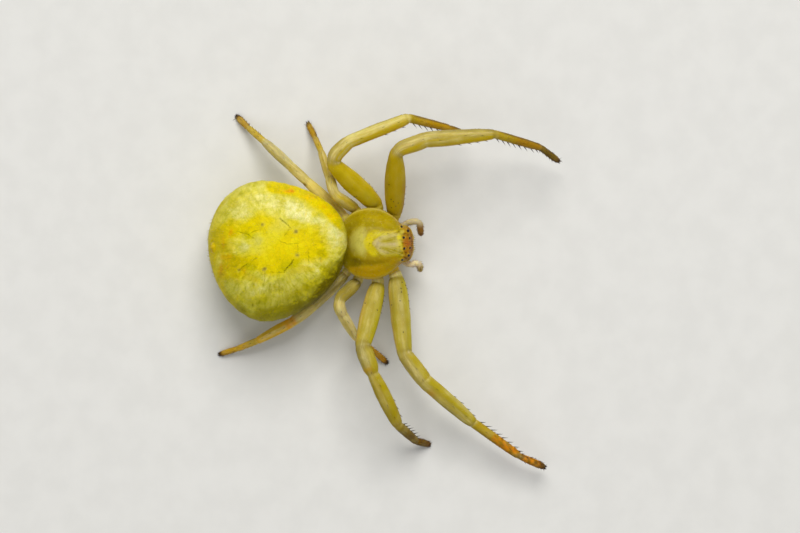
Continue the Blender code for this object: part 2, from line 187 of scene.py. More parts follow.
STRIPS = {  # u0, v0, u1, v1, and whether the length runs up the map
    "abdomen": (0.02, 0.585, 0.98, 0.985, True),
    "cephalothorax": (0.02, 0.40, 0.42, 0.565, True),
    "chelicera_left": (0.44, 0.40, 0.495, 0.565, True),
    "chelicera_right": (0.51, 0.40, 0.565, 0.565, True),
    "palp_left": (0.58, 0.40, 0.625, 0.565, True),
    "palp_right": (0.64, 0.40, 0.685, 0.565, True),
    "pedicel": (0.885, 0.40, 0.92, 0.565, True),
    "endite_left": (0.93, 0.40, 0.95, 0.565, True),
    "endite_right": (0.955, 0.40, 0.975, 0.565, True),
    "mouth": (0.98, 0.40, 0.995, 0.565, True),
}
for _k in range(7):
    STRIPS[f"spinneret_{_k}"] = (0.70 + 0.026 * _k, 0.40, 0.72 + 0.026 * _k, 0.565, True)
for _row in range(4):
    for _side in ("left", "right"):
        STRIPS[f"leg_{_side}_{_row + 1}"] = leg_strip(_side, _row)


def on_map(strip, along, around):
    u0, v0, u1, v1, upright = strip
    if upright:
        return np.stack((blend(u0, u1, around), blend(v0, v1, along)), -1)
    return np.stack((blend(u0, u1, along), blend(v0, v1, around)), -1)


def off_map(strip, uv):
    u0, v0, u1, v1, upright = strip
    a, b = (uv[:, 0] - u0) / (u1 - u0), (uv[:, 1] - v0) / (v1 - v0)
    return (b, a) if upright else (a, b)


# ------------------------------------------------------------ grids of skin
class Part:
    """A closed length of the body, as rings of points from its base to its tip."""

    def __init__(self, name, rings, finish, q=None):
        self.name, self.rings, self.finish = name, rings, finish
        middle = rings.mean(1)
        self.s = np.concatenate(([0.0], np.cumsum(np.linalg.norm(np.diff(middle, axis=0), axis=1))))
        self.q = self.s / self.s[-1] if q is None else q
        self.strip = STRIPS[name]
        self.frames()

    def frames(self):
        p = self.rings
        along = np.gradient(p, axis=0)
        round_ = np.roll(p, -1, 1) - np.roll(p, 1, 1)
        self.normal = unit(np.cross(along, round_))
        self.along = unit(along)

    def push(self, amount):
        """Move the surface outward, by amount at each point."""
        self.rings = self.rings + self.normal * np.asarray(amount)[..., None]
        self.frames()

    def mesh(self):
        n, m = self.rings.shape[:2]
        verts = np.concatenate((self.rings.reshape(-1, 3), self.rings[:1].mean(1), self.rings[-1:].mean(1)))
        i, j = np.meshgrid(np.arange(n - 1), np.arange(m), indexing="ij")
        i, j = i.ravel(), j.ravel()
        k = (j + 1) % m
        quads = np.stack((i * m + j, (i + 1) * m + j, (i + 1) * m + k, i * m + k), 1)
        f = self.s / self.s[-1]
        a0, a1 = j / m, (j + 1) / m
        quad_uv = np.stack((on_map(self.strip, f[i], a0), on_map(self.strip, f[i + 1], a0),
                            on_map(self.strip, f[i + 1], a1), on_map(self.strip, f[i], a1)), 1)
        j = np.arange(m)
        k = (j + 1) % m
        first = np.stack((j, k, np.full(m, n * m)), 1)
        last = np.stack((k + (n - 1) * m, j + (n - 1) * m, np.full(m, n * m + 1)), 1)
        a0, a1, am = j / m, (j + 1) / m, (j + 0.5) / m
        zero, one = np.zeros(m), np.ones(m)
        first_uv = np.stack((on_map(self.strip, zero, a0), on_map(self.strip, zero, a1), on_map(self.strip, zero, am)), 1)
        last_uv = np.stack((on_map(self.strip, one, a1), on_map(self.strip, one, a0), on_map(self.strip, one, am)), 1)
        tris, tri_uv = np.concatenate((first, last)), np.concatenate((first_uv, last_uv))
        me = mesh_of(self.name, verts, quads, tris, quad_uv, tri_uv)
        me.polygons.foreach_set("material_index", np.full(len(me.polygons), self.finish, np.int32))
        return me

    def spots(self, i, a):
        """Place, outward and tipward directions, length code and map place at ring i, share a of the way round."""
        n, m = self.rings.shape[:2]
        i = np.clip(i, 0, n - 1.001)
        i0 = i.astype(int)
        fi = (i - i0)[:, None]
        j = (a % 1.0) * m
        j0 = j.astype(int) % m
        fj = (j - np.floor(j))[:, None]
        j1 = (j0 + 1) % m

        def read(x):
            near = x[i0, j0] * (1 - fj) + x[i0, j1] * fj
            far = x[i0 + 1, j0] * (1 - fj) + x[i0 + 1, j1] * fj
            return near * (1 - fi) + far * fi

        f = np.interp(i, np.arange(n), self.s / self.s[-1])
        return (read(self.rings), unit(read(self.normal)), unit(read(self.along)),
                np.interp(i, np.arange(n), self.q), on_map(self.strip, f, a % 1.0))

    def ring_at(self, q):
        return np.interp(q, self.q, np.arange(len(self.q)))


def mesh_of(name, verts, quads, tris, quad_uv, tri_uv):
    """A mesh, shifted to where the solids stand and turned into metres."""
    me = bpy.data.meshes.new(name)
    me.vertices.add(len(verts))
    me.vertices.foreach_set("co", ((verts + SHIFT) * MM).astype(np.float32).ravel())
    loops = np.concatenate((quads.ravel(), tris.ravel()))
    me.loops.add(len(loops))
    me.loops.foreach_set("vertex_index", loops.astype(np.int32))
    me.polygons.add(len(quads) + len(tris))
    starts = np.concatenate((np.arange(len(quads)) * 4, len(quads) * 4 + np.arange(len(tris)) * 3))
    me.polygons.foreach_set("loop_start", starts.astype(np.int32))
    uv = me.uv_layers.new(name="OFBake")
    uv.data.foreach_set("uv", np.concatenate((quad_uv.reshape(-1, 2), tri_uv.reshape(-1, 2))).astype(np.float32).ravel())
    me.update(calc_edges=True)
    me.validate(clean_customdata=False)
    me.shade_smooth()
    return me


def shown(name, me):
    ob = bpy.data.objects.new(name, me)
    bpy.context.scene.collection.objects.link(ob)
    return ob


# ------------------------------------------------------------------ abdomen
def abdomen_share(t):
    front = 1 - np.clip((ABDOMEN_WIDEST - t) / ABDOMEN_WIDEST, 0, 1) ** 1.75
    rear = 1 - np.clip((t - ABDOMEN_WIDEST) / (1 - ABDOMEN_WIDEST), 0, 1) ** 1.95
    return np.sqrt(np.maximum(0.0, np.where(t < ABDOMEN_WIDEST, front, rear)))


def abdomen_level(t):
    a, b, c = ABDOMEN_LEVELS
    return b + (a - b) * (1 - smooth(0.0, 0.45, t)) + (c - b) * smooth(0.6, 1.0, t)


def abdomen_middle(t):
    return blend(ABDOMEN_SIDE_FRONT, -0.06, t) + ABDOMEN_SIDE_BOW * np.maximum(0, np.sin(math.pi * t)) ** 0.9


def abdomen_point(t, around):
    share = abdomen_share(t)
    c, s = np.cos(around), np.sin(around)
    high = np.where(s > 0, ABDOMEN_UP, ABDOMEN_DOWN * blend(0.93, 1.0, smooth(0.0, 0.4, t)))
    flat = 1 - 0.06 * np.maximum(0.0, -s) ** 3
    return place(blend(ABDOMEN_FRONT, ABDOMEN_REAR, t),
                 abdomen_middle(t) + ABDOMEN_HALF * share * c,
                 abdomen_level(t) + high * share * s * flat)


SIGILLA = (  # muscle pits on the back: forward, left, width, depth
    (-1.99, 0.07, 0.055, 0.012), (-3.12, 0.52, 0.080, 0.030), (-3.06, -0.52, 0.075, 0.026),
    (-4.57, 0.82, 0.065, 0.028), (-4.50, -1.15, 0.070, 0.036), (-5.65, -1.19, 0.050, 0.020),
    (-4.72, -0.50, 0.05, 0.006),
)
CREASES = (  # thin dark lines on the back: from, to (forward, left), strength
    ((-3.83, 1.10), (-3.39, 0.70), 0.9), ((-5.70, 0.56), (-5.16, 0.34), 0.85), ((-5.16, 0.34), (-4.85, 0.12), 0.5),
    ((-5.63, -1.17), (-5.20, -0.86), 0.8), ((-5.20, -0.86), (-4.85, -0.63), 0.6), ((-3.63, -1.26), (-3.21, -0.72), 1.0),
)
FAINT_CREASES = (
    ((-5.21, 0.39), (-4.68, 0.61)), ((-4.23, -1.28), (-3.52, -1.26)), ((-3.79, 0.07), (-3.42, -0.06)),
    ((-3.42, -0.06), (-2.99, 0.01)), ((-3.03, -0.06), (-3.03, -0.41)), ((-2.58, -0.32), (-2.54, -0.85)),
    ((-4.45, -1.30), (-4.56, -1.86)), ((-3.60, 0.30), (-3.44, 0.62)),
)
tail_ = abdomen_point(np.array((ABDOMEN_FRONT + 6.87) / (ABDOMEN_FRONT - ABDOMEN_REAR)), np.array(math.radians(94)))
TAIL = (-float(tail_[1]), float(tail_[0]), float(tail_[2]))  # middle of the anal tubercle


def make_abdomen():
    n, m = 148, 216
    u = (np.arange(n) + 0.5) / n
    t = (1 - np.cos(math.pi * u)) / 2
    t = blend(t, smooth(0, 1, t), 0.12)
    a = 2 * math.pi * np.arange(m) / m
    T, A = np.meshgrid(t, a, indexing="ij")
    part = Part("abdomen", abdomen_point(T, A), 0, q=t)
    p = part.rings
    f, side, z = -p[..., 1], p[..., 0], p[..., 2]
    top = smooth(0.15, 0.5, np.sin(A))
    push = np.zeros(T.shape)
    for sf, sl, width, depth in SIGILLA:
        push -= depth * np.exp(-((f - sf) ** 2 + (side - sl) ** 2) / width ** 2) * top
        push += 0.35 * depth * np.exp(-((f - sf) ** 2 + (side - sl) ** 2) / (2.6 * width) ** 2) * top
    # shallow folds radiating from the pits toward the flanks, and pleats in front
    c = np.cos(A)
    flank = smooth(0.25, 0.75, np.abs(c)) * smooth(-0.75, -0.1, np.sin(A))
    push += 0.010 * np.sin(T * 74 + 2.2 * np.sin(A * 3)) * flank * smooth(0.04, 0.16, T) * (1 - smooth(0.80, 0.95, T))
    push += 0.008 * np.sin(A * 26 + 3 * np.sin(A * 2)) * hill(T, 0.04, 0.045) * smooth(-0.5, 0.2, np.sin(A))
    low = smooth(0.10, 0.6, -np.sin(A))
    push += 0.014 * np.sin((z + 0.25 * f) * 15.0 + 0.8 * np.sin(T * 9)) * smooth(0.0, 0.25, -np.sin(A)) * (1 - smooth(0.55, 0.85, -np.sin(A))) * smooth(0.08, 0.25, T) * (1 - smooth(0.78, 0.92, T))
    # heart line: a barely raised mound along the middle of the back
    push += 0.020 * hill(side - abdomen_middle(T), 0.0, 0.34) * top * smooth(0.1, 0.3, T) * (1 - smooth(0.6, 0.8, T))
    # underside: the cross fold, two lung covers, the plate between them
    mid = side - abdomen_middle(T)
    push -= 0.050 * hill(f, -2.42 - 0.0, 0.05) * low * hill(mid, 0, 1.05)
    for sign in (-1, 1):
        push += 0.045 * np.exp(-((f + 2.02) / 0.36) ** 4 - ((mid - sign * 0.78) / 0.36) ** 4) * low
    push += 0.050 * np.exp(-((f + 2.22) / 0.16) ** 2 - (mid / 0.24) ** 2) * low
    for sign in (-1, 1):  # two rows of pits down the belly
        for k in range(6):
            push -= 0.016 * np.exp(-((f + 3.0 + 0.48 * k) ** 2 + (mid - sign * (0.62 - 0.04 * k)) ** 2) / 0.065 ** 2) * low
    # the anal tubercle, ringed by folds, and the swelling that carries the spinnerets
    away = np.linalg.norm(p - place(*TAIL), axis=-1)
    push += 0.085 * np.exp(-(away / 0.17) ** 2) - 0.022 * hill(away, 0.27, 0.05) + 0.010 * hill(away, 0.38, 0.05)
    push += 0.006 * np.cos(away * 60) * (1 - smooth(0.10, 0.22, away))
    push += 0.022 * Ripple(3, 1.3)(p) + 0.007 * Ripple(4, 4.6)(p) + 0.0032 * Ripple(5, 13.0)(p)
    part.push(push - 0.012)
    return part


# ----------------------------------------------------------------- carapace
def carapace_half(f):
    thorax = np.where(f > 0, THORAX_FRONT, THORAX_REAR)
    a = THORAX_HALF * np.sqrt(np.maximum(0.0, 1 - (f / thorax) ** 2))
    h = np.clip(f / HEAD_FRONT, 0.0, 1.0)
    b = HEAD_HALF * (0.4 + 0.6 * smooth(-0.7, 0.6, f)) * np.sqrt(np.maximum(0.0, 1 - h ** 14))
    return (a ** 3 + b ** 3) ** (1 / 3)


def carapace_edge(f):
    return EDGE_LEVEL + 0.12 * smooth(0.6, 1.4, f) - 0.20 * (1 - smooth(REAR_EDGE, -0.7, f))


def carapace_crown(f):
    rear = smooth(REAR_EDGE - 0.15, -0.15, f) ** 0.75
    front = np.maximum(0.0, (f - 1.25) / (HEAD_FRONT - 1.25)) ** 2.4
    return blend(1.86, CARAPACE_TOP, rear) - 0.84 * front


def carapace_height(f, side):
    w, e = carapace_half(f), carapace_edge(f)
    s = np.minimum(1.0, np.abs(side) / w)
    return e + (carapace_crown(f) - e) * np.sqrt(np.maximum(0.0, 1 - s ** 2.3))


EYE_MOUNDS = {"front_median": (0.030, 0.10), "front_lateral": (0.075, 0.16),
              "rear_median": (0.022, 0.10), "rear_lateral": (0.070, 0.15)}


def carapace_relief(p):
    """Outward unevenness of the upper shell at points p."""
    f, side = -p[..., 1], p[..., 0]
    s = np.abs(side)
    share = s / carapace_half(f)
    out = np.zeros(f.shape)
    # the sides fall away a little hollow, so the middle stands up as a broad ridge
    out -= 0.085 * smooth(0.42, 0.66, share) * (1 - smooth(0.86, 0.99, share)) * smooth(-1.1, -0.5, f) * (1 - smooth(0.8, 1.3, f))
    # the furrow that sets the head off from the thorax, and rays toward the leg bases
    line = s - (0.16 + 0.62 * smooth(-0.25, 1.05, f))
    out -= 0.020 * hill(line, 0.0, 0.12) * smooth(-0.35, 0.1, f) * (1 - smooth(0.95, 1.35, f))
    away = np.hypot(f + 0.30, s)
    angle = np.arctan2(s, -(f + 0.30))
    for ray in (0.75, 1.28, 1.85):
        out -= 0.013 * hill(angle, ray, 0.13) * smooth(0.25, 0.6, away) * (1 - smooth(1.05, 1.35, away))
    out -= 0.018 * np.exp(-((f + 0.34) / 0.20) ** 2 - (side / 0.07) ** 2)
    # two low swellings behind the eyes
    out += 0.014 * np.exp(-((f - 0.98) / 0.30) ** 2 - ((s - 0.30) / 0.15) ** 2)
    # a raised seam round the edge
    out += 0.016 * hill(share, 0.985, 0.018)
    for name, (ef, es, _) in EYES.items():
        kind = name.split("_", 2)[2]
        tall, wide = EYE_MOUNDS[kind]
        there = place(ef, es, carapace_height(np.array(ef), np.array(es)))
        d = np.linalg.norm(p - there, axis=-1)
        out += tall * np.exp(-(d / wide) ** 2)
        out += 0.012 * hill(d, EYES[name][2] + 0.014, 0.014)
    out += 0.006 * Ripple(11, 3.2)(p) + 0.0015 * Ripple(12, 17.0)(p)
    return out


def make_cephalothorax():
    rear = REAR_EDGE + np.array((0.0, 0.02, 0.05, 0.09, 0.14))
    main = np.arange(REAR_EDGE + 0.19, 1.30, 0.05)
    head = np.arange(1.30, 1.84, 0.028)
    front = HEAD_FRONT - np.array((0.225, 0.200, 0.178, 0.155, 0.133, 0.112, 0.092, 0.074, 0.057, 0.042, 0.030, 0.020, 0.012))
    stations = np.concatenate((rear, main, head, front))
    top, under = 61, 36
    rings = []
    for f in stations:
        f = np.array(f)
        w, e = float(carapace_half(f)), float(carapace_edge(f))
        w *= 0.62 + 0.38 * float(smooth(REAR_EDGE - 0.02, REAR_EDGE + 0.09, f)) ** 0.6
        a = math.pi * np.arange(top) / (top - 1)
        side = -w * np.cos(a)
        z = np.maximum(e, carapace_height(f, side))
        plug = float(smooth(-0.98, -0.80, f) * (1 - smooth(1.10, 1.24, f)))
        reach = max(0.0, 1 - ((float(f) - STERNUM_MID) / STERNUM_REACH) ** 2)
        half = blend(0.45 * w, max(0.18, STERNUM_HALF * math.sqrt(reach)), plug)
        rim = 0.05
        low = blend(e - rim - 0.06, STERNUM_LOW, plug)
        turn = [(0.0, w, e), (1.0, w * 0.99, e - rim), (2.0, blend(half, w, 0.12), e - rim - 0.02),
                (3.0, half, blend(e - rim - 0.03, low, 0.25)), (4.0, half * 0.96, blend(e, low, 0.80)),
                (4.7, half * 0.66, low + 0.03 * plug), (5.5, half * 0.3, low), (6.2, 0.0, low)]
        x = np.linspace(0.0, 6.2, under // 2 + 2)[1:]
        us = through([(k, s_) for k, s_, _ in turn], x)
        uz = through([(k, z_) for k, _, z_ in turn], x)
        us = np.concatenate((us, -us[-2::-1]))
        uz = np.concatenate((uz, uz[-2::-1]))
        rings.append(place(f, np.concatenate((side, us)), np.concatenate((z, uz))))
    part = Part("cephalothorax", np.array(rings), 1, q=stations)
    p = part.rings
    upper = np.zeros(p.shape[:2])
    upper[:, :top] = 1.0
    relief = carapace_relief(p) * upper - 0.008
    relief += (0.004 * Ripple(13, 5.0)(p)) * (1 - upper)
    part.push(relief)
    return part


# --------------------------------------------------------------------- limbs
def joints_of(hip, lengths):
    points = [place(*hip)]
    for reach, heading, rise in lengths:
        h = math.radians(heading)
        points.append(points[-1] + place(reach * math.cos(h), reach * math.sin(h), rise))
    return np.array(points)


def walk(points, bend_radii, step, before=0.0):
    """The middle line of a limb: straight lengths joined by round bends.

    Gives points, directions, and a code whose whole numbers are the joints.
    """
    n = len(points) - 1
    bends = [None]
    for k in range(1, n):
        u, v = unit(points[k] - points[k - 1]), unit(points[k + 1] - points[k])
        turn = math.acos(float(np.clip(u @ v, -1, 1)))
        if turn < 0.02:
            bends.append(None)
            continue
        axis = unit(np.cross(u, v))
        cut = bend_radii[k - 1] * math.tan(turn / 2)
        start = points[k] - u * cut
        bends.append((turn, Vector(axis), cut, start, start + np.cross(axis, u) * bend_radii[k - 1], u, bend_radii[k - 1]))
    bends.append(None)
    centres, ways, codes = [], [], []

    def arc(bend, parts, length, k, second):
        turn, axis, cut, start, middle, u, _ = bend
        for part in parts:
            spin = np.array(Matrix.Rotation(turn * part, 3, axis))
            centres.append(middle + spin @ (start - middle))
            ways.append(spin @ u)
            codes.append(k + (cut / length * (2 * part - 1) if second else 1 - cut / length * (1 - 2 * part)))

    for k in range(n):
        a, b = points[k], points[k + 1]
        length = float(np.linalg.norm(b - a))
        along = (b - a) / length
        cut_a = bends[k][2] if bends[k] else 0.0
        cut_b = bends[k + 1][2] if bends[k + 1] else 0.0
        if bends[k]:
            count = max(2, math.ceil(bends[k][6] * bends[k][0] / 2 / step))
            arc(bends[k], 0.5 + 0.5 * np.arange(count) / count, length, k, True)
        first = -before if k == 0 else cut_a
        count = max(2, math.ceil((length - cut_b - first) / step))
        stops = np.linspace(first, length - cut_b, count + 1)
        for s in (stops if not bends[k + 1] and k == n - 1 else stops[:-1]):
            centres.append(a + along * s)
            ways.append(along)
            codes.append(k + s / length)
        if bends[k + 1]:
            count = max(2, math.ceil(bends[k + 1][6] * bends[k + 1][0] / 2 / step))
            arc(bends[k + 1], 0.5 * np.arange(count) / count, length, k, False)
    return np.array(centres), np.array(ways), np.array(codes)


def rings_about(centres, ways, wide, tall, angles):
    side = unit(np.cross(ways, UP))
    over = np.cross(side, ways)
    return (centres[:, None] + side[:, None] * (wide[:, None] * np.cos(angles))[..., None]
            + over[:, None] * (tall[:, None] * np.sin(angles))[..., None])


THICKNESS = {  # half-widths along each limb; whole numbers are the joints
    "left_1": ((-0.4, .17), (0, .24), (.3, .285), (.6, .285), (.76, .285), (.88, .315), (.96, .322), (1, .325), (1.05, .365),
               (1.13, .412), (1.30, .458), (1.50, .472), (1.72, .440), (1.88, .368), (1.96, .335), (2, .325), (2.08, .335),
               (2.3, .352), (2.7, .350), (2.93, .338), (3, .332), (3.07, .338), (3.3, .345), (3.6, .328), (3.85, .282), (3.96, .238), (4, .212),
               (4.04, .198), (4.3, .190), (4.7, .172), (4.93, .150), (5, .132), (5.05, .134), (5.4, .142), (5.8, .148), (6, .120)),
    "right_1": ((-0.4, .17), (0, .24), (.3, .285), (.6, .285), (.74, .275), (.83, .300), (.90, .305), (.96, .292), (1, .318), (1.04, .358),
                (1.10, .398), (1.25, .448), (1.50, .462), (1.75, .418), (1.90, .375), (1.97, .352), (2, .340), (2.08, .352),
                (2.35, .368), (2.7, .364), (2.93, .345), (3, .336), (3.07, .342), (3.35, .342), (3.7, .316), (3.88, .282), (3.96, .240), (4, .218),
                (4.04, .210), (4.3, .208), (4.75, .195), (4.95, .168), (5, .140), (5.06, .142), (5.4, .165), (5.8, .172), (6, .135)),
    "left_2": ((-0.4, .16), (0, .23), (.3, .275), (.6, .275), (.76, .270), (.88, .302), (.96, .308), (1, .312), (1.05, .355),
               (1.13, .405), (1.30, .445), (1.55, .448), (1.78, .400), (1.91, .350), (1.97, .330), (2, .320), (2.08, .328),
               (2.3, .338), (2.7, .330), (2.93, .312), (3, .305), (3.07, .310), (3.3, .310), (3.6, .298), (3.88, .275), (3.96, .240), (4, .215),
               (4.04, .200), (4.3, .190), (4.75, .172), (4.95, .160), (5, .140), (5.05, .146), (5.4, .156), (5.8, .146), (6, .122)),
    "right_2": ((-0.4, .16), (0, .23), (.3, .275), (.6, .275), (.74, .265), (.83, .288), (.90, .290), (.96, .278), (1, .302), (1.04, .340),
                (1.10, .378), (1.28, .430), (1.55, .445), (1.78, .408), (1.91, .370), (1.97, .345), (2, .332), (2.08, .345),
                (2.4, .384), (2.75, .374), (2.92, .312), (3, .275), (3.06, .305), (3.35, .332), (3.7, .304), (3.90, .268), (3.96, .235), (4, .208),
                (4.04, .202), (4.3, .202), (4.75, .185), (4.95, .160), (5, .135), (5.05, .140), (5.4, .158), (5.8, .150), (6, .125)),
    "left_3": ((-0.4, .14), (0, .19), (.3, .23), (.6, .23), (.76, .215), (.88, .232), (.96, .228), (1, .225), (1.08, .25),
               (1.25, .278), (1.5, .290), (1.75, .272), (1.92, .245), (2, .230), (2.08, .238),
               (2.4, .246), (2.8, .232), (3, .208), (3.07, .212), (3.3, .212), (3.65, .192), (3.93, .162), (4, .143),
               (4.06, .142), (4.5, .138), (4.93, .126), (5, .112), (5.08, .118), (5.5, .132), (5.85, .128), (6, .105)),
    "right_3": ((-0.4, .14), (0, .19), (.3, .23), (.6, .23), (.76, .215), (.88, .235), (.96, .230), (1, .232), (1.08, .262),
                (1.25, .295), (1.5, .302), (1.75, .288), (1.92, .260), (2, .245), (2.08, .255),
                (2.4, .266), (2.8, .258), (3, .238), (3.07, .248), (3.3, .252), (3.65, .230), (3.93, .180), (4, .153),
                (4.06, .148), (4.5, .142), (4.93, .128), (5, .112), (5.08, .118), (5.5, .130), (5.85, .126), (6, .105)),
    "left_4": ((-0.4, .14), (0, .185), (.3, .215), (.6, .215), (.76, .200), (.88, .218), (.96, .212), (1, .208), (1.06, .232),
               (1.25, .262), (1.5, .272), (1.75, .258), (1.92, .238), (2, .225), (2.07, .234),
               (2.4, .248), (2.8, .240), (3, .220), (3.06, .230), (3.3, .236), (3.65, .215), (3.93, .175), (4, .152),
               (4.05, .148), (4.5, .144), (4.93, .132), (5, .116), (5.08, .124), (5.5, .142), (5.85, .138), (6, .112)),
    "right_4": ((-0.4, .14), (0, .185), (.3, .215), (.6, .215), (.76, .200), (.88, .218), (.96, .212), (1, .208), (1.06, .232),
                (1.25, .262), (1.5, .278), (1.75, .262), (1.92, .238), (2, .225), (2.07, .234),
                (2.4, .250), (2.8, .242), (3, .222), (3.06, .230), (3.3, .232), (3.65, .208), (3.93, .168), (4, .148),
                (4.05, .148), (4.5, .142), (4.93, .126), (5, .110), (5.08, .114), (5.5, .122), (5.85, .116), (6, .100)),
}
STANDING = ("left_3", "left_4", "right_2", "right_3", "right_4")


def close_tip(centres, ways, codes, radius):
    """Round off the end of a limb."""
    shares = np.array((0.30, 0.58, 0.82, 0.97))
    centres = np.concatenate((centres, centres[-1] + ways[-1] * (radius * shares[:, None])))
    ways = np.concatenate((ways, np.repeat(ways[-1:], 4, 0)))
    codes = np.concatenate((codes, codes[-1] + 0.004 * np.arange(1, 5)))
    return centres, ways, codes, np.sqrt(1 - shares ** 2)


def make_leg(name):
    hip, lengths = LEGS[name]
    kind = name[-1]
    points = joints_of(hip, lengths)
    bends = [w + 0.10 for w in BEND_WIDTHS[kind]]
    if kind in "12":  # the long knees are bowed rather than bent
        bends[1], bends[2] = 0.56, 0.95 if name != "right_2" else 0.55
    centres, ways, q = walk(points, bends, 0.058, before=0.26)
    r = through(THICKNESS[name], q)
    centres, ways, q, ends = close_tip(centres, ways, q, r[-1])
    r = np.concatenate((r, r[-1] * ends))
    spans = np.linalg.norm(np.diff(points, axis=0), axis=1)
    # tight rings where the lengths meet, each with a soft collar beside it
    for joint in range(1, 6):
        d = (q - joint) * spans[joint - 1 if joint else 0]
        d = np.where(q > joint, (q - joint) * spans[joint], d)
        size = (0.04, 0.018, 0.020, 0.06, 0.07)[joint - 1]
        r = r * (1 - size * hill(d, 0.0, 0.040) + 0.2 * size * hill(d, 0.12, 0.06) + 0.3 * size * hill(d, -0.11, 0.06))
    m = 26
    angles = 2 * math.pi * np.arange(m) / m
    tall = r * np.where((q > 1) & (q < 2), 0.96, 1.0)
    if name in STANDING:  # a foot rests on the floor, not in it
        steep = np.sqrt(np.maximum(0.0, 1 - ways[:, 2] ** 2))
        lift = np.maximum(0.0, tall * steep + 0.012 - centres[:, 2])
        centres = centres + UP * lift[:, None]
    rings = rings_about(centres, ways, r, tall, angles)
    part = Part(f"leg_{name}", rings, 2, q=q)
    p = part.rings
    A = np.broadcast_to(angles, p.shape[:2])
    Q = np.broadcast_to(q[:, None], p.shape[:2])
    seed = sum(map(ord, name))
    body = np.clip(r / 0.3, 0.25, 1.3)[:, None]
    push = 0.010 * body * Ripple(seed, 2.3)(p) + 0.004 * body * Ripple(seed + 1, 7.0)(p)
    # faint lengthwise furrows, deepest on the femur and tibia
    push += 0.0055 * body * np.cos(A * 5 + 0.7 * seed) * smooth(1.1, 1.4, Q) * (1 - smooth(3.8, 4.0, Q))
    # soft skin shows as small cross folds on the inner side of the knees
    inner = 0.0 if name.startswith("left") else math.pi
    facing = 0.5 + 0.5 * np.cos(A - inner)
    for joint, depth in ((2, 0.012), (3, 0.005), (4, 0.008), (1, 0.008)):
        d = np.where(Q > joint, (Q - joint) * spans[joint], (Q - joint) * spans[joint - 1])
        push += depth * body * np.sin(d * 62) * np.exp(-(d / 0.15) ** 2) * (0.35 + 0.65 * facing)
    part.push(push * smooth(0.2, 0.5, Q) * (1 - smooth(5.98, 6.0, Q)))
    if name in STANDING:
        part.rings[..., 2] = np.maximum(part.rings[..., 2], 0.006)
        part.frames()
    return part


def make_palp(name):
    hip, lengths = PALPS[name]
    points = joints_of(hip, lengths)
    # a short hidden base from the mouthparts out to where the limb shows
    base = place(1.28, 0.34 if name == "left" else -0.33, 1.62)
    points = np.concatenate((base[None], points))
    centres, ways, q = walk(points, (0.16, 0.18, 0.18), 0.045, before=0.10)
    knots = ((-0.3, .12), (0, .15), (0.8, .145), (1, .120), (1.12, .128), (1.6, .142), (1.9, .132), (2, .118),
             (2.1, .130), (2.5, .140), (2.9, .134), (3, .122), (3.1, .132), (3.45, .146), (3.8, .130), (4, .098))
    r = through(knots, q)
    centres, ways, q, ends = close_tip(centres, ways, q, r[-1])
    r = np.concatenate((r, r[-1] * ends))
    m = 20
    angles = 2 * math.pi * np.arange(m) / m
    part = Part(f"palp_{name}", rings_about(centres, ways, r, r, angles), 2, q=q)
    p = part.rings
    part.push(0.004 * Ripple(41, 7.0)(p) + 0.002 * Ripple(42, 18.0)(p))
    return part


def make_chelicera(name, sign):
    rows = (  # height, forward, side, half depth, half width
        (2.30, 1.74, 0.20, 0.10, 0.14), (2.16, 1.80, 0.21, 0.14, 0.155), (2.04, 1.85, 0.215, 0.18, 0.17),
        (1.90, 1.895, 0.22, 0.205, 0.182), (1.74, 1.895, 0.225, 0.212, 0.190), (1.56, 1.86, 0.22, 0.195, 0.186),
        (1.42, 1.805, 0.207, 0.160, 0.165), (1.33, 1.765, 0.192, 0.120, 0.132), (1.27, 1.735, 0.178, 0.08, 0.09),
        (1.24, 1.72, 0.17, 0.04, 0.045),
    )
    zs = np.array([r[0] for r in rows])
    x = np.linspace(0, 1, 34)
    key = (zs[0] - zs) / (zs[0] - zs[-1])
    z, f, s, deep, wide = (through(list(zip(key, [r[k] for r in rows])), x) for k in range(5))
    m = 26
    a = 2 * math.pi * np.arange(m) / m
    # going down, the right-hand side of travel is taken as the spider's own left
    rings = place(f[:, None] + deep[:, None] * np.sin(a), 0.025 + sign * s[:, None] + wide[:, None] * np.cos(a), z[:, None] + 0 * a)
    part = Part(name, rings, 1)
    n = part.normal[17, 0]
    if n[0] < 0:  # faces must point outward
        part = Part(name, rings[:, ::-1], 1)
    p = part.rings
    part.push(0.003 * Ripple(51, 9.0)(p) + 0.004 * np.sin(p[..., 2] * 60) * smooth(1.30, 1.42, p[..., 2]) * (1 - smooth(1.45, 1.60, p[..., 2])))
    return part


def make_rod(name, path, radii, finish, m=18, flat=1.0, step=0.03, seed=60):
    """A short lobe along a smooth path."""
    path = np.array([place(*p) for p in path])
    key = np.concatenate(([0.0], np.cumsum(np.linalg.norm(np.diff(path, axis=0), axis=1))))
    count = max(8, math.ceil(key[-1] / step))
    x = np.linspace(0, key[-1], count)
    centres = np.stack([through(list(zip(key, path[:, k])), x) for k in range(3)], -1)
    ways = unit(np.gradient(centres, axis=0))
    r = through([(a * key[-1], b) for a, b in radii], x)
    angles = 2 * math.pi * np.arange(m) / m
    part = Part(name, rings_about(centres, ways, r, r * flat, angles), finish)
    part.push(0.003 * Ripple(seed, 11.0)(part.rings))
    return part


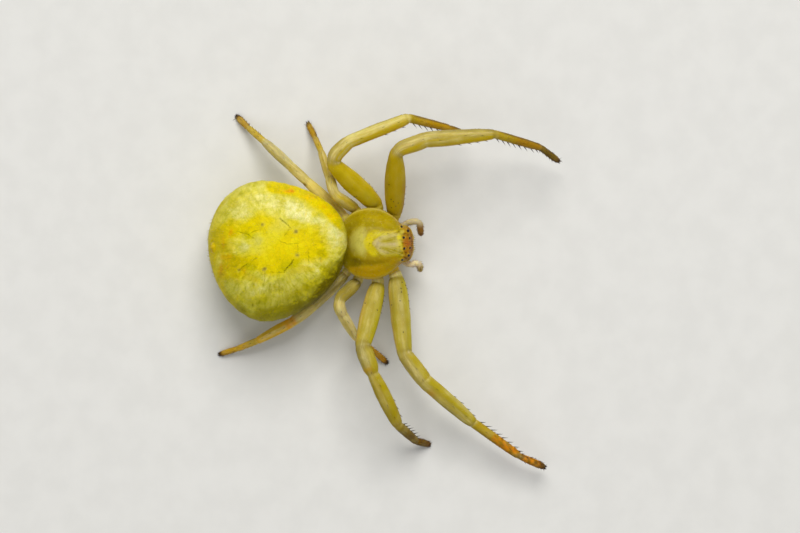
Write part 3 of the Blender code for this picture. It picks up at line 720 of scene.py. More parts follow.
def make_spinnerets():
    t, down = 0.925, -math.pi / 2
    here = abdomen_point(np.array(t), np.array(down))
    slope = abdomen_point(np.array(t + 0.01), np.array(down)) - abdomen_point(np.array(t - 0.01), np.array(down))
    back = unit(np.array((0, slope[2], -slope[1])))
    side = unit(np.cross(back, UP))
    over = np.cross(side, back)

    def point(along, across, above):
        p = here + back * along + side * across + over * above
        return (-p[1], p[0], p[2])

    parts = [make_rod("spinneret_0", [point(-0.25, 0, 0), point(0.02, 0, 0), point(0.14, 0, 0)],
                      ((0, 0.30), (0.6, 0.345), (0.85, 0.31), (1, 0.24)), 0, m=28, flat=0.85)]
    lobes = ((0.17, -0.13, 0.46, 0.120), (-0.17, -0.13, 0.46, 0.120), (0.16, 0.13, 0.48, 0.105),
             (-0.16, 0.13, 0.48, 0.105), (0.055, 0.01, 0.36, 0.060), (-0.055, 0.01, 0.36, 0.060))
    for k, (across, above, reach, size) in enumerate(lobes, 1):
        parts.append(make_rod(f"spinneret_{k}",
                              [point(0.0, across * 0.8, above * 0.8), point(reach * 0.55, across, above), point(reach, across * 0.72, above * 0.72)],
                              ((0, size), (0.35, size), (0.50, size * 0.86), (0.56, size * 0.95), (0.85, size * 0.66), (0.96, size * 0.42), (1, size * 0.2)),
                              0, m=16, step=0.022, seed=61 + k))
    return parts


# ------------------------------------------------------------------- colours
LEMON, BRIGHT, CREAM = srgb(226, 206, 10), srgb(240, 218, 4), srgb(238, 231, 150)
OLIVE_CREAM, OLIVE, DEEP_OLIVE = srgb(206, 196, 92), srgb(160, 146, 12), srgb(122, 112, 8)
RUST, BELLY = srgb(236, 150, 8), srgb(206, 194, 96)
GOLD, WAX, PALE_WAX = srgb(196, 166, 14), srgb(205, 192, 88), srgb(224, 214, 146)
AMBER, BROWN, DARK_BROWN = srgb(200, 134, 26), srgb(120, 74, 20), srgb(44, 26, 12)


def spot(f, side, where, width):
    return np.exp(-((f - where[0]) ** 2 + (side - where[1]) ** 2) / width ** 2)


LEMON_FIELD, DULL_FIELD, MIXED = srgb(230, 208, 0), srgb(212, 188, 4), srgb(226, 214, 52)
GREYISH, WHITISH, STRAW, LIGHT_GREEN = srgb(202, 198, 104), srgb(241, 236, 158), srgb(214, 204, 58), srgb(200, 196, 84)
FIELDS = (  # soft patches on the back: colour, forward, left, half length, half width, turn in degrees, amount
    (STRAW, -6.37, 1.55, 0.44, 0.62, -40, 0.6), (STRAW, -6.11, -2.41, 0.62, 0.53, 40, 0.4),
    (WHITISH, -3.02, 1.38, 0.80, 0.36, 25, 0.80), (WHITISH, -1.31, 0.23, 0.36, 0.48, 0, 0.85), (WHITISH, -5.45, 1.51, 0.40, 0.35, 0, 0.3),
    (WHITISH, -4.21, 1.77, 0.66, 0.26, 5, 0.4), (WHITISH, -2.05, 0.72, 0.36, 0.26, 35, 0.7),
    (LEMON_FIELD, -2.85, -0.03, 1.25, 0.76, 0, 1.0), (LEMON_FIELD, -3.64, -0.30, 0.97, 0.84, 0, 0.9),
    (LEMON_FIELD, -4.61, -0.87, 1.14, 0.40, 8, 0.9), (LEMON_FIELD, -4.87, 0.72, 1.10, 0.35, -5, 0.95),
    (LEMON_FIELD, -6.11, 0.54, 0.62, 0.50, 0, 0.9), (DULL_FIELD, -6.02, -1.09, 0.70, 0.56, -20, 0.9), (DULL_FIELD, -6.45, -0.05, 0.40, 0.75, 0, 0.8),
    (LEMON_FIELD, -5.75, 1.07, 0.35, 0.26, 0, 0.7), (LEMON_FIELD, -4.61, 1.16, 0.31, 0.22, 0, 0.5),
    (MIXED, -4.26, 0.01, 0.62, 0.40, 0, 0.6), (GREYISH, -5.62, -0.20, 0.34, 0.24, -10, 0.7),
    (MIXED, -3.82, 0.37, 0.40, 0.26, 0, 0.5), (GREYISH, -4.74, 0.01, 0.22, 0.18, 0, 0.5),
    (srgb(220, 216, 116), -4.10, -1.96, 1.10, 0.36, -10, 0.95), (DULL_FIELD, -5.36, -1.48, 0.62, 0.22, 15, 0.5),
    (DULL_FIELD, -2.95, -1.20, 0.50, 0.20, -20, 0.5), (WHITISH, -2.2, -1.0, 0.45, 0.20, -35, 0.2),
    (srgb(212, 198, 0), -5.22, 0.33, 0.34, 0.20, 0, 0.8), (srgb(196, 184, 0), -5.22, -1.09, 0.34, 0.22, 10, 0.8),
    (srgb(206, 192, 0), -3.38, -1.02, 0.46, 0.24, -12, 0.8), (srgb(220, 200, 0), -2.05, -0.42, 0.28, 0.34, 0, 0.85),
    (srgb(196, 184, 8), -2.12, -1.05, 0.26, 0.24, -30, 0.7), (srgb(230, 212, 20), -3.27, 0.90, 0.24, 0.20, 0, 0.7),
    (srgb(234, 212, 20), -2.28, 0.60, 0.26, 0.20, 0, 0.75), (srgb(226, 208, 10), -4.42, 0.37, 0.26, 0.22, 0, 0.7),
    (srgb(186, 174, 10), -4.47, -1.12, 0.20, 0.14, 0, 0.5), (srgb(242, 226, 64), -2.17, 1.26, 0.30, 0.18, -40, 0.7),
    (srgb(176, 162, 2), -1.88, -1.14, 0.52, 0.20, -52, 0.65),
)
SHOULDER = ((-4.10, 2.62), (-3.66, 2.58), (-2.95, 2.41), (-2.34, 2.10), (-1.85, 1.74), (-1.41, 1.34), (-1.06, 0.90))
FLECKS = (  # forward, left, half length, half width, colour, amount
    (-3.56, 2.40, 0.34, 0.17, srgb(238, 196, 0), 0.7), (-3.46, 2.36, 0.16, 0.10, srgb(238, 166, 0), 0.9), (-3.32, 2.30, 0.08, 0.07, srgb(232, 140, 0), 0.7),
    (-2.45, 2.00, 0.34, 0.12, srgb(236, 192, 0), 0.8), (-1.45, 1.22, 0.20, 0.12, srgb(232, 184, 0), 0.6), (-1.90, 1.60, 0.3, 0.10, srgb(234, 190, 0), 0.6),
    (-6.00, 0.52, 0.10, 0.22, srgb(234, 166, 0), 0.75), (-6.35, -0.02, 0.10, 0.26, srgb(222, 170, 4), 0.7), (-6.26, -0.68, 0.24, 0.12, srgb(222, 170, 0), 0.75),
    (-6.44, -1.15, 0.14, 0.24, srgb(214, 160, 0), 0.7), (-6.25, -1.05, 0.10, 0.10, srgb(220, 160, 0), 0.5),
    (-5.51, -1.26, 0.13, 0.12, srgb(222, 184, 0), 0.8), (-5.70, -0.12, 0.09, 0.06, srgb(132, 128, 60), 0.4), (-5.05, -1.88, 0.08, 0.12, srgb(150, 140, 0), 0.6),
    (-5.09, -2.72, 0.05, 0.10, srgb(116, 106, 0), 0.6), (-5.75, -2.40, 0.06, 0.16, srgb(196, 176, 0), 0.8), (-2.10, -0.65, 0.09, 0.06, srgb(150, 146, 60), 0.5),
    (-3.02, 0.02, 0.05, 0.05, srgb(150, 132, 20), 0.4), (-2.05, -0.75, 0.06, 0.06, srgb(210, 160, 10), 0.3), (-4.95, -1.62, 0.10, 0.08, srgb(214, 190, 0), 0.5),
)


def patch(f, side, at, half, turn=0.0):
    """1 inside a soft-edged oval on the back, 0 outside."""
    c, s = math.cos(math.radians(turn)), math.sin(math.radians(turn))
    x, y = f - at[0], side - at[1]
    d = np.hypot((x * c - y * s) / half[0], (x * s + y * c) / half[1])
    return 1 - smooth(0.55, 1.30, d)


def near_path(f, side, path):
    """Least distance to a bent line."""
    best = np.full(f.shape, 1e9)
    for (af, al), (bf, bl) in zip(path, path[1:]):
        vf, vl = bf - af, bl - al
        t = np.clip(((f - af) * vf + (side - al) * vl) / (vf * vf + vl * vl), 0, 1)
        best = np.minimum(best, np.hypot(f - af - t * vf, side - al - t * vl))
    return best


def abdomen_tone(q, around, p):
    f, side = -p[:, 1], p[:, 0]
    c, s = np.cos(around), np.sin(around)
    df = 0.09 * Ripple(71, 2.4)(p) + 0.05 * Ripple(72, 7.0)(p)
    dl = 0.09 * Ripple(76, 2.4)(p) + 0.05 * Ripple(77, 7.0)(p)
    fine = Ripple(73, 11.0)(p)
    colour = np.broadcast_to(srgb(229, 219, 96), (len(p), 3)).copy()
    colour = tint(colour, srgb(222, 210, 62), np.clip(0.30 + 0.35 * Ripple(74, 3.4)(p), 0, 0.8))
    # the right flank is duller and greener than the left
    colour = tint(colour, srgb(204, 197, 72), 0.80 * smooth(0.10, 0.55, -c + 0.5 * df))
    up = smooth(-0.15, 0.25, s)
    for shade, pf, pl, a, b, turn, amount in FIELDS:
        colour = tint(colour, shade, amount * up * patch(f + df, side + dl, (pf, pl), (a, b), turn))
    # bright shoulder on the left, from the front to past the widest place
    d = near_path(f + 0.5 * df, side + 0.5 * dl, SHOULDER)
    band = 1 - smooth(0.25, 0.56, d)
    outside = smooth(0.80, 0.93, c) * smooth(0.06, 0.16, q) * (1 - smooth(0.42, 0.58, q))
    colour = tint(colour, srgb(240, 216, 0), 0.97 * np.maximum(band * up, outside * smooth(-0.5, 0.0, s)))
    # yellow edge all round behind, olive along the right side, and painted shade that darkens the right front flank to
    # deep olive
    colour = tint(colour, srgb(206, 188, 6), 0.80 * smooth(0.80, 0.96, np.abs(c) + 0.6 * df) * smooth(0.50, 0.7, q) * smooth(-0.9, 0.2, s + df) * (1 - 0.85 * smooth(0.3, 0.8, c) * (1 - smooth(0.84, 0.94, q + 0.3 * df))))
    colour = tint(colour, srgb(216, 194, 8), 0.85 * smooth(0.86, 0.95, q + 0.12 * df) * smooth(1.0, 2.6, p[:, 2] + 1.5 * df) * (1 - 0.5 * smooth(0.3, 0.9, c)))
    colour = tint(colour, srgb(184, 170, 2), 0.66 * hill(-c + 0.5 * df, 0.62, 0.13) * (1 - smooth(0.60, 0.8, q)) * smooth(0.04, 0.16, q) * up)
    colour = tint(colour, srgb(158, 146, 0), 0.85 * smooth(0.74, 0.90, -c + 0.4 * df) * (1 - smooth(0.72, 0.9, q)))
    # painted shade: deep olive on the right front flank, mostly the shade where the flank turns down, partly its own
    # olive colour
    colour = tint(colour, srgb(116, 102, 0), 0.90 * smooth(0.62, 1.02, -c + 0.5 * df + 0.28 * (1 - smooth(0.05, 0.30, q))) * (1 - smooth(0.20, 0.62, q + 0.4 * df)))
    colour = colour * (1 - 0.08 * smooth(0.05, 0.45, c + 0.3 * df) * up * (1 - 0.4 * smooth(0.80, 0.95, q)))[:, None]
    # painted shade: the right front flank darkened a little more
    colour = colour * (1 - 0.10 * smooth(0.45, 0.80, -c + 0.5 * df) * up * (1 - smooth(0.30, 0.62, q + 0.4 * df)))[:, None]
    # rust-coloured and dark flecks
    for pf, pl, a, b, shade, amount in FLECKS:
        there = np.exp(-((f + 0.35 * df - pf) / a) ** 2 - ((side + 0.35 * dl - pl) / b) ** 2)
        colour = tint(colour, shade, np.clip(amount * up * there * (1 + 0.4 * fine), 0, 1))
    # pale pleats in front, where it overhangs the waist
    colour = tint(colour, srgb(214, 200, 84), 0.6 * (1 - smooth(0.02, 0.07, q)) * smooth(-0.2, 0.4, s) * smooth(-0.75, -0.3, c))
    colour = tint(colour, OLIVE, 0.4 * (1 - smooth(0.0, 0.012, q)))
    # muscle pits: each has a pale ring
    for sf, sl, width, depth in SIGILLA:
        there = spot(f, side, (sf, sl), width * 1.6) * up
        colour = tint(colour, srgb(214, 202, 104), np.clip(there * min(1.0, depth / 0.020), 0, 1) * 0.45)
    # tail
    away = np.linalg.norm(p - place(*TAIL), axis=-1)
    colour = tint(colour, srgb(214, 178, 40), 0.85 * (1 - smooth(0.12, 0.26, away)))
    colour = tint(colour, srgb(188, 156, 10), 0.35 * hill(away, 0.28, 0.05))
    # belly: waxy, with a broad yellow-white stripe and dull lines of pits
    low = smooth(0.12, 0.95, -s + 1.5 * df) * smooth(2.45, 1.20, p[:, 2] + 1.5 * df)
    mid = side - abdomen_middle(q)
    colour = tint(colour, BELLY, low * 0.9)
    colour = tint(colour, srgb(226, 216, 138), 0.6 * low * (1 - smooth(0.35, 0.85, np.abs(mid) + df)) * smooth(0.28, 0.34, q) * (1 - smooth(0.70, 0.92, q + 0.3 * df)))
    for sign in (-1, 1):
        for k in range(6):
            colour = tint(colour, srgb(150, 132, 48), 0.6 * low * np.exp(-((f + 3.0 + 0.48 * k) ** 2 + (mid - sign * (0.62 - 0.04 * k)) ** 2) / 0.075 ** 2))
        colour = tint(colour, srgb(222, 208, 150), 0.8 * low * np.exp(-((f + 2.02) / 0.36) ** 4 - ((mid - sign * 0.78) / 0.36) ** 4))
    colour = tint(colour, srgb(150, 92, 30), 0.85 * low * np.exp(-((f + 2.24) / 0.13) ** 2 - (mid / 0.20) ** 2))
    colour = tint(colour, srgb(140, 118, 40), 0.6 * low * hill(f, -2.42, 0.045) * hill(mid, 0, 1.0))
    return colour


def carapace_tone(f_ring, around, p):
    f, side, z = -p[:, 1], p[:, 0], p[:, 2]
    s = np.abs(side)
    wander = 0.05 * Ripple(81, 3.0)(p) + 0.02 * Ripple(85, 9.0)(p)
    other = 0.05 * Ripple(84, 3.0)(p) + 0.02 * Ripple(86, 9.0)(p)
    fine = Ripple(82, 12.0)(p)
    share = s / np.maximum(carapace_half(f), 0.05)

    def oval(cf, cs, a, b, turn=0.0):
        return patch(f + wander, side + other, (cf, cs), (a, b), turn)

    # clear sides: amber-gold on the right, olive-gold on the left
    colour = np.broadcast_to(srgb(168, 146, 10), (len(p), 3)).copy()
    colour = tint(colour, srgb(160, 140, 16), smooth(0.10, 0.8, side + wander))
    colour = tint(colour, srgb(206, 166, 0), 0.95 * smooth(0.70, 1.10, -side + wander))
    colour = tint(colour, srgb(188, 162, 8), 0.45 * oval(0.45, 0.98, 0.75, 0.22))
    colour = tint(colour, srgb(188, 164, 40), 0.45 * smooth(0.86, 0.95, share) * smooth(0.2, 0.8, side))
    colour = tint(colour, srgb(200, 158, 0), 0.6 * oval(1.05, -0.80, 0.55, 0.26))
    # dark olive bands beside the middle, the right one darkest behind
    colour = tint(colour, srgb(164, 138, 0), 0.85 * oval(-0.05, -0.82, 0.95, 0.20))
    colour = tint(colour, srgb(136, 116, 0), 0.80 * oval(-0.56, -0.80, 0.34, 0.20))
    colour = tint(colour, srgb(158, 140, 4), 0.75 * oval(-0.10, 0.80, 1.0, 0.20))
    colour = tint(colour, srgb(136, 120, 0), 0.55 * oval(-0.75, 0.70, 0.28, 0.24))
    colour = tint(colour, srgb(172, 148, 0), 0.7 * oval(1.12, 0.62, 0.32, 0.13))
    # pale waxy middle behind
    colour = tint(colour, srgb(198, 188, 84), 0.90 * oval(-0.42, 0.04, 0.34, 0.52))
    colour = tint(colour, srgb(204, 196, 98), 0.60 * oval(-0.20, 0.05, 0.30, 0.56))
    colour = tint(colour, srgb(176, 158, 20), 0.7 * (1 - smooth(-1.0, -0.66, f + wander)))
    # grey-white wedge that opens toward the head: two pale arms, a pale streak along
    # the middle, and a clear olive oval between the streak and each arm
    ff, ss = f + 0.5 * wander, side + 0.5 * other
    inside = (1 - smooth(0.8, 1.15, s / np.maximum(0.05, 0.06 + 0.44 * smooth(0.22, 0.80, ff)) + 0.6 * wander)) * smooth(0.22, 0.34, ff) * (1 - smooth(1.36, 1.54, f))
    colour = tint(colour, srgb(184, 168, 74), 0.90 * inside)
    colour = tint(colour, srgb(170, 154, 26), 0.85 * patch(ff, ss, (0.96, 0.25), (0.32, 0.115), -10))
    colour = tint(colour, srgb(162, 146, 6), 0.90 * patch(ff, ss, (1.00, -0.29), (0.36, 0.125), 8))
    arms = near_path(ff, ss, ((1.20, 0.44), (0.66, 0.34), (0.30, 0.01), (0.62, -0.34), (0.90, -0.44)))
    colour = tint(colour, srgb(212, 197, 130), 0.80 * (1 - smooth(0.03, 0.13, arms)) * (1 - 0.6 * smooth(0.7, 1.1, ff)))
    colour = tint(colour, srgb(204, 188, 134), 0.90 * (1 - smooth(0.03, 0.115 + 0.03 * smooth(0.9, 1.3, ff), np.abs(ss - 0.01) + 0.3 * (1 - smooth(0.30, 0.42, ff)))) * (1 - smooth(1.36, 1.54, f)))
    colour = tint(colour, srgb(202, 186, 130), 0.80 * patch(ff, ss, (0.52, 0.02), (0.20, 0.15)))
    colour = tint(colour, srgb(206, 194, 96), 0.45 * oval(1.36, 0.02, 0.10, 0.32))
    # bright yellow crescent behind the wedge, its horns run forward along the arms
    horns = near_path(ff, ss, ((0.50, 0.47), (0.22, 0.36), (0.04, 0.06), (0.06, -0.16), (0.32, -0.42)))
    crescent = np.clip((1 - smooth(0.09, 0.22, horns)) * (1.0 + 0.12 * fine) * (1 - 0.8 * (1 - smooth(0.03, 0.12, arms))), 0, 1)
    colour = tint(colour, srgb(218, 200, 0), 0.92 * crescent)
    colour = tint(colour, srgb(214, 202, 50), 0.70 * (1 - smooth(0.02, 0.10, near_path(ff, ss, ((0.45, 0.46), (0.90, 0.50))))))
    colour = tint(colour, srgb(212, 190, 0), 0.75 * (1 - smooth(0.01, 0.07, near_path(ff, ss, ((0.70, 0.57), (1.12, 0.57), (1.36, 0.62))))))
    colour = tint(colour, srgb(202, 184, 10), 0.70 * (1 - smooth(0.01, 0.09, near_path(ff, ss, ((0.40, -0.46), (1.05, -0.52), (1.45, -0.46))))))
    # yellow just behind the eyes, then the orange field between them
    colour = tint(colour, srgb(226, 212, 44), 0.85 * oval(1.49, 0.38, 0.11, 0.15))
    colour = tint(colour, srgb(228, 214, 66), 0.85 * oval(1.56, -0.36, 0.14, 0.12, 20))
    colour = tint(colour, srgb(224, 210, 78), 0.75 * oval(1.49, 0.02, 0.08, 0.30))
    orange = smooth(1.56, 1.66, f + 0.10 * s ** 2 + 0.4 * wander) * (1 - smooth(0.36, 0.62, s + 0.6 * wander))
    colour = tint(colour, srgb(174, 111, 0), 0.90 * orange)
    colour = tint(colour, srgb(182, 84, 0), 0.90 * np.exp(-((f - 1.80) / 0.15) ** 2 - ((side - 0.03) / 0.20) ** 2))
    rim = smooth(1.66, 1.82, f + 0.45 * s ** 2) * smooth(0.30, 0.50, s)
    colour = tint(colour, srgb(176, 128, 16), 0.7 * rim * (z > 2.3))
    speck = smooth(0.25, 0.85, Ripple(83, 24.0)(p)) * smooth(1.50, 1.66, f + 0.42 * s ** 2) * smooth(0.20, 0.42, s + 0.3 * (f > 1.86)) * (1 - smooth(0.62, 0.80, s))
    colour = tint(colour, srgb(112, 62, 4), 0.75 * speck * (z > 2.25))
    front = hill(f + 0.30 * s ** 2, 1.985, 0.034) * (z > 2.2)
    colour = tint(colour, srgb(130, 74, 6), 0.65 * front)
    colour = tint(colour, srgb(104, 56, 4), 0.70 * oval(1.66, -0.60, 0.14, 0.045, 48))
    colour = tint(colour, srgb(124, 80, 8), 0.60 * oval(1.70, 0.52, 0.08, 0.045, -40))
    colour = tint(colour, srgb(222, 206, 84), 0.70 * oval(1.62, 0.63, 0.10, 0.10))
    colour = tint(colour, srgb(222, 190, 40), 0.70 * oval(1.49, -0.71, 0.09, 0.06))
    # face below the eyes
    colour = tint(colour, srgb(212, 182, 84), 0.85 * smooth(2.36, 2.22, z) * smooth(1.7, 1.85, f))
    # eye rims
    for which, (ef, es, er) in EYES.items():
        there = place(ef, es, carapace_height(np.array(ef), np.array(es)))
        d = np.linalg.norm(p - there, axis=-1)
        if "front" in which:
            colour = tint(colour, srgb(122, 64, 2), 0.62 * (1 - smooth(er, er + 0.10, d + wander)))
        colour = tint(colour, srgb(214, 170, 50), 0.45 * hill(d, er + 0.045, 0.026))
        colour = tint(colour, srgb(58, 24, 4), 0.85 * (1 - smooth(er + 0.002, er + 0.022, d)))
    # seam round the edge, and the underside with the breastplate
    top = z > carapace_edge(f) - 0.01
    colour = tint(colour, srgb(208, 194, 104), 0.70 * hill(share, 0.966, 0.020) * top * (f < 1.4))
    low = smooth(2.02, 1.80, z)
    colour = tint(colour, srgb(190, 166, 50), low)
    shield = smooth(1.48, 1.38, z)
    colour = tint(colour, srgb(208, 192, 92), shield)
    colour = tint(colour, srgb(160, 132, 40), 0.5 * shield * hill(s, 0.42, 0.08))
    return colour


def jaw_tone(q, around, p):
    z = p[:, 2]
    colour = np.broadcast_to(srgb(200, 172, 52), (len(p), 3)).copy()
    colour = tint(colour, srgb(216, 200, 110), 0.6 * smooth(1.55, 1.85, z))
    colour = tint(colour, srgb(150, 96, 24), 0.7 * smooth(1.42, 1.28, z))
    return tint(colour, srgb(176, 140, 30), np.clip(0.3 * Ripple(91, 9.0)(p), 0, 0.5))


# each leg's own tones, partly painted light: lengths that lie in the body's shade, on the hind legs most, are painted
# lighter
FEMUR = {"left_1": (188, 160, 0), "left_2": (200, 176, 0), "right_1": (148, 134, 34), "right_2": (152, 138, 20),
         "left_3": (220, 194, 58), "right_3": (148, 134, 62), "left_4": (250, 229, 130), "right_4": (156, 140, 78)}
SHIN = {"left_1": (149, 133, 54), "left_2": (214, 200, 112), "right_1": (160, 143, 44), "right_2": (160, 138, 16),
        "left_3": (178, 154, 66), "right_3": (236, 220, 148), "left_4": (180, 168, 116), "right_4": (234, 184, 32)}
KNEE = {"left_1": (178, 160, 84), "left_2": (178, 160, 80), "right_1": (158, 142, 66), "right_2": (138, 122, 50),
        "left_3": (180, 160, 72), "right_3": (206, 188, 116), "left_4": (200, 184, 112), "right_4": (214, 190, 100)}


def leg_tone(name):
    left = name.startswith("left")
    kind = name[-1]
    fore = kind in "12"
    seed = sum(map(ord, name))
    femur, shin, knee = srgb(*FEMUR[name]), srgb(*SHIN[name]), srgb(*KNEE[name])
    coarse, middling, grain_, streak = Ripple(seed, 2.0), Ripple(seed + 3, 4.5), Ripple(seed + 5, 9.0), Ripple(seed + 9, 1.0, 40)

    def tone(q, around, p):
        inner = np.cos(around) if left else -np.cos(around)  # 1 on the side that faces forward and in
        top = np.sin(around)
        wander = 0.10 * coarse(p)
        # muscles show through as pale and yellow lengthwise streaks
        lines = streak(np.stack((np.cos(around) * 6.5, np.sin(around) * 6.5, q * 3.4), -1))
        colour = np.broadcast_to(femur, (len(p), 3)).copy()
        if fore:
            shaft = smooth(1.02, 1.10, q) * (1 - smooth(1.92, 2.02, q))
            colour = tint(colour, tint(femur, srgb(204, 188, 112), 0.55), np.clip(0.55 * lines, 0, 0.6) * shaft * (0.3 if left else 1.0))
            colour = tint(colour, srgb(190, 170, 6), np.clip(-0.45 * lines, 0, 0.5) * shaft * (0.35 if left else 1.0))
            if not left:
                # partly painted light: the cream centre stands for the glow and soft highlight of the see-into femur,
                # and both edges are lightened as light coming through them; the yellow forward edge and tan rear edge
                # are also the leg's own colour
                colour = tint(colour, srgb(190, 176, 96), 0.50 * hill(inner + wander, -0.12, 0.50) * shaft)
                colour = tint(colour, srgb(200, 186, 34), 0.62 * smooth(0.10, 0.90, inner + wander) * shaft)
                colour = tint(colour, srgb(214, 182, 80), 0.78 * smooth(0.50, 0.90, -inner + wander) * shaft)
            elif name == "left_1":
                colour = tint(colour, srgb(160, 112, 0), 0.75 * smooth(0.45, 0.95, inner + wander) * smooth(1.02, 1.06, q) * (1 - smooth(1.42, 1.62, q)))
                colour = tint(colour, srgb(170, 142, 22), 0.4 * smooth(0.2, 0.8, -inner + wander) * shaft)
            else:
                colour = tint(colour, srgb(174, 160, 30), 0.6 * smooth(1.03, 1.10, q) * (1 - smooth(1.30, 1.45, q)) * smooth(-0.9, -0.1, -np.abs(inner)))
                colour = tint(colour, srgb(196, 168, 0), 0.6 * smooth(0.4, 0.9, inner + wander) * shaft)
            colour = tint(colour, knee, smooth(1.93, 2.03, q))
            colour = tint(colour, shin, smooth(2.85, 3.10, q))
            # cream above, partly a painted highlight on the upper side, a clear yellow band along the forward and lower
            # side, a dull line behind
            under = srgb(196, 170, 0) if left else srgb(182, 164, 6)
            low_part = smooth(2.0, 2.25, q) * (1 - smooth(3.93, 4.05, q))
            # partly painted highlight: the cream band on the upper side
            colour = tint(colour, srgb(216, 198, 120), (0.65 if left else 0.35) * hill(inner + wander, -0.34, 0.30) * low_part)
            colour = tint(colour, under, (0.94 if left else 0.72) * smooth(-0.08, 0.30, inner + 0.7 * wander) * low_part)
            colour = tint(colour, srgb(212, 172, 0), 0.70 * smooth(0.62, 0.92, inner) * low_part * (1.0 if left else 0.2))
            colour = tint(colour, under, 0.6 * smooth(0.1, 0.8, -top) * low_part)
            colour = tint(colour, srgb(126, 106, 20), (0.62 if left else 0.35) * smooth(0.76, 0.96, -inner + 0.3 * wander) * smooth(1.80, 2.1, q))
            colour = tint(colour, tint(shin, srgb(214, 202, 132), 0.6), np.clip(0.35 * lines, 0, 0.5) * smooth(2.1, 2.3, q) * (1 - smooth(3.8, 3.95, q)))
            if name == "right_2":
                colour = tint(colour, srgb(160, 140, 4), 0.8 * smooth(3.35, 3.8, q) * (1 - smooth(3.93, 4.0, q)))
                colour = tint(colour, srgb(190, 150, 0), 0.7 * hill(q, 2.82, 0.10) * smooth(-0.1, 0.5, -inner + 0.4 * top))
            if name == "right_1":
                colour = tint(colour, srgb(200, 146, 0), 0.6 * hill(q, 3.18, 0.07) * smooth(0.0, 0.7, -inner))
            dark_far = name == "right_2"
            colour = tint(colour, srgb(176, 150, 20) if not dark_far else srgb(140, 116, 0), smooth(3.97, 4.05, q) if not dark_far else smooth(3.80, 4.12, q + 0.6 * wander))
            colour = tint(colour, {"left_1": srgb(163, 119, 0), "left_2": srgb(184, 142, 0), "right_1": srgb(138, 96, 0), "right_2": srgb(110, 82, 0)}[name],
                          0.95 * smooth(4.08, 4.55 if name != "right_1" else 4.80, q + 0.5 * wander))
            colour = tint(colour, {"left_1": srgb(98, 76, 20), "left_2": srgb(150, 112, 24), "right_1": srgb(120, 82, 6), "right_2": srgb(108, 74, 0)}[name],
                          0.9 * smooth(4.94, 5.06, q))
            back = smooth(0.35, 0.80, -inner + 0.3 * wander)
            colour = tint(colour, srgb(98, 78, 28) if not dark_far else srgb(96, 72, 4), 0.80 * back * smooth(3.92, 4.2, q) * (0.5 if name == "right_1" else 1.0))
            if name == "right_1":
                dusty = np.clip(0.18 + 0.28 * smooth(4.15, 4.9, q) + 0.34 * Ripple(seed + 13, 30.0)(p) + 0.22 * grain_(p), 0, 0.9)
                colour = tint(colour, srgb(214, 138, 0), dusty * smooth(4.00, 4.70, q) * (1 - 0.5 * smooth(0.3, 0.9, -inner)))
        else:
            colour = tint(colour, femur, smooth(1.0, 1.1, q))
            colour = tint(colour, knee, smooth(1.9, 2.06, q))
            colour = tint(colour, shin, smooth(2.9, 3.1, q))
            colour = tint(colour, srgb(214, 202, 138), np.clip(0.45 * lines, 0, 0.5) * smooth(1.05, 1.2, q) * (1 - smooth(3.8, 4.0, q)))
            colour = tint(colour, srgb(176, 156, 44), np.clip(-0.45 * lines, 0, 0.5) * smooth(1.05, 1.2, q) * (1 - smooth(3.8, 4.0, q)))
            colour = tint(colour, srgb(186, 158, 36), smooth(3.90, 4.06, q))
            # painted light: the right third leg's far lengths and tip are painted lighter where they lie in shade
            far = {"left_4": srgb(190, 164, 58), "left_3": srgb(178, 144, 34), "right_3": srgb(192, 148, 28), "right_4": srgb(214, 170, 40)}[name]
            colour = tint(colour, far, 0.95 * smooth(4.15, 4.6, q + 0.5 * wander))
            end = {"left_4": srgb(180, 142, 50), "left_3": srgb(172, 132, 20), "right_3": srgb(184, 132, 18), "right_4": srgb(200, 156, 30)}[name]
            colour = tint(colour, end, 0.9 * smooth(4.96, 5.10, q))
            # painted shade: the underside of the hind legs darker and duller
            colour = tint(colour, srgb(176, 152, 60), 0.5 * smooth(0.3, 0.9, -top) * (1 - smooth(3.9, 4.1, q)))
            if name == "right_4":
                colour = tint(colour, srgb(230, 158, 0), 0.75 * np.clip(hill(q, 2.98, 0.13) * (0.9 + 0.5 * middling(p)), 0, 1) * smooth(-0.5, 0.3, -inner + top))
                colour = tint(colour, srgb(218, 154, 4), 0.55 * np.clip(hill(q, 4.2, 0.22) * (0.8 + 0.5 * middling(p)), 0, 1))
        # base: clear amber under the shell, a pale ring round the trochanter; on the right side both are painted
        # lighter, as painted light that lifts the shade the shell casts over them
        base = (srgb(200, 164, 0) if left else srgb(244, 208, 60)) if fore else (srgb(214, 184, 60) if left else srgb(240, 216, 110))
        colour = tint(colour, base, 1 - smooth(0.66, 0.78, q))
        colour = tint(colour, tint(femur, srgb(204, 188, 92), 0.25) if left else srgb(236, 222, 140), 0.9 * smooth(0.70, 0.80, q) * (1 - smooth(0.96, 1.04, q)))
        colour = tint(colour, srgb(232, 218, 140), (0.35 if left else 0.95) * np.maximum(hill(q, 0.80, 0.018), 0.8 * hill(q, 0.955, 0.014)))
        colour = tint(colour, srgb(150, 118, 10), 0.30 * hill(q, 0.70, 0.04))
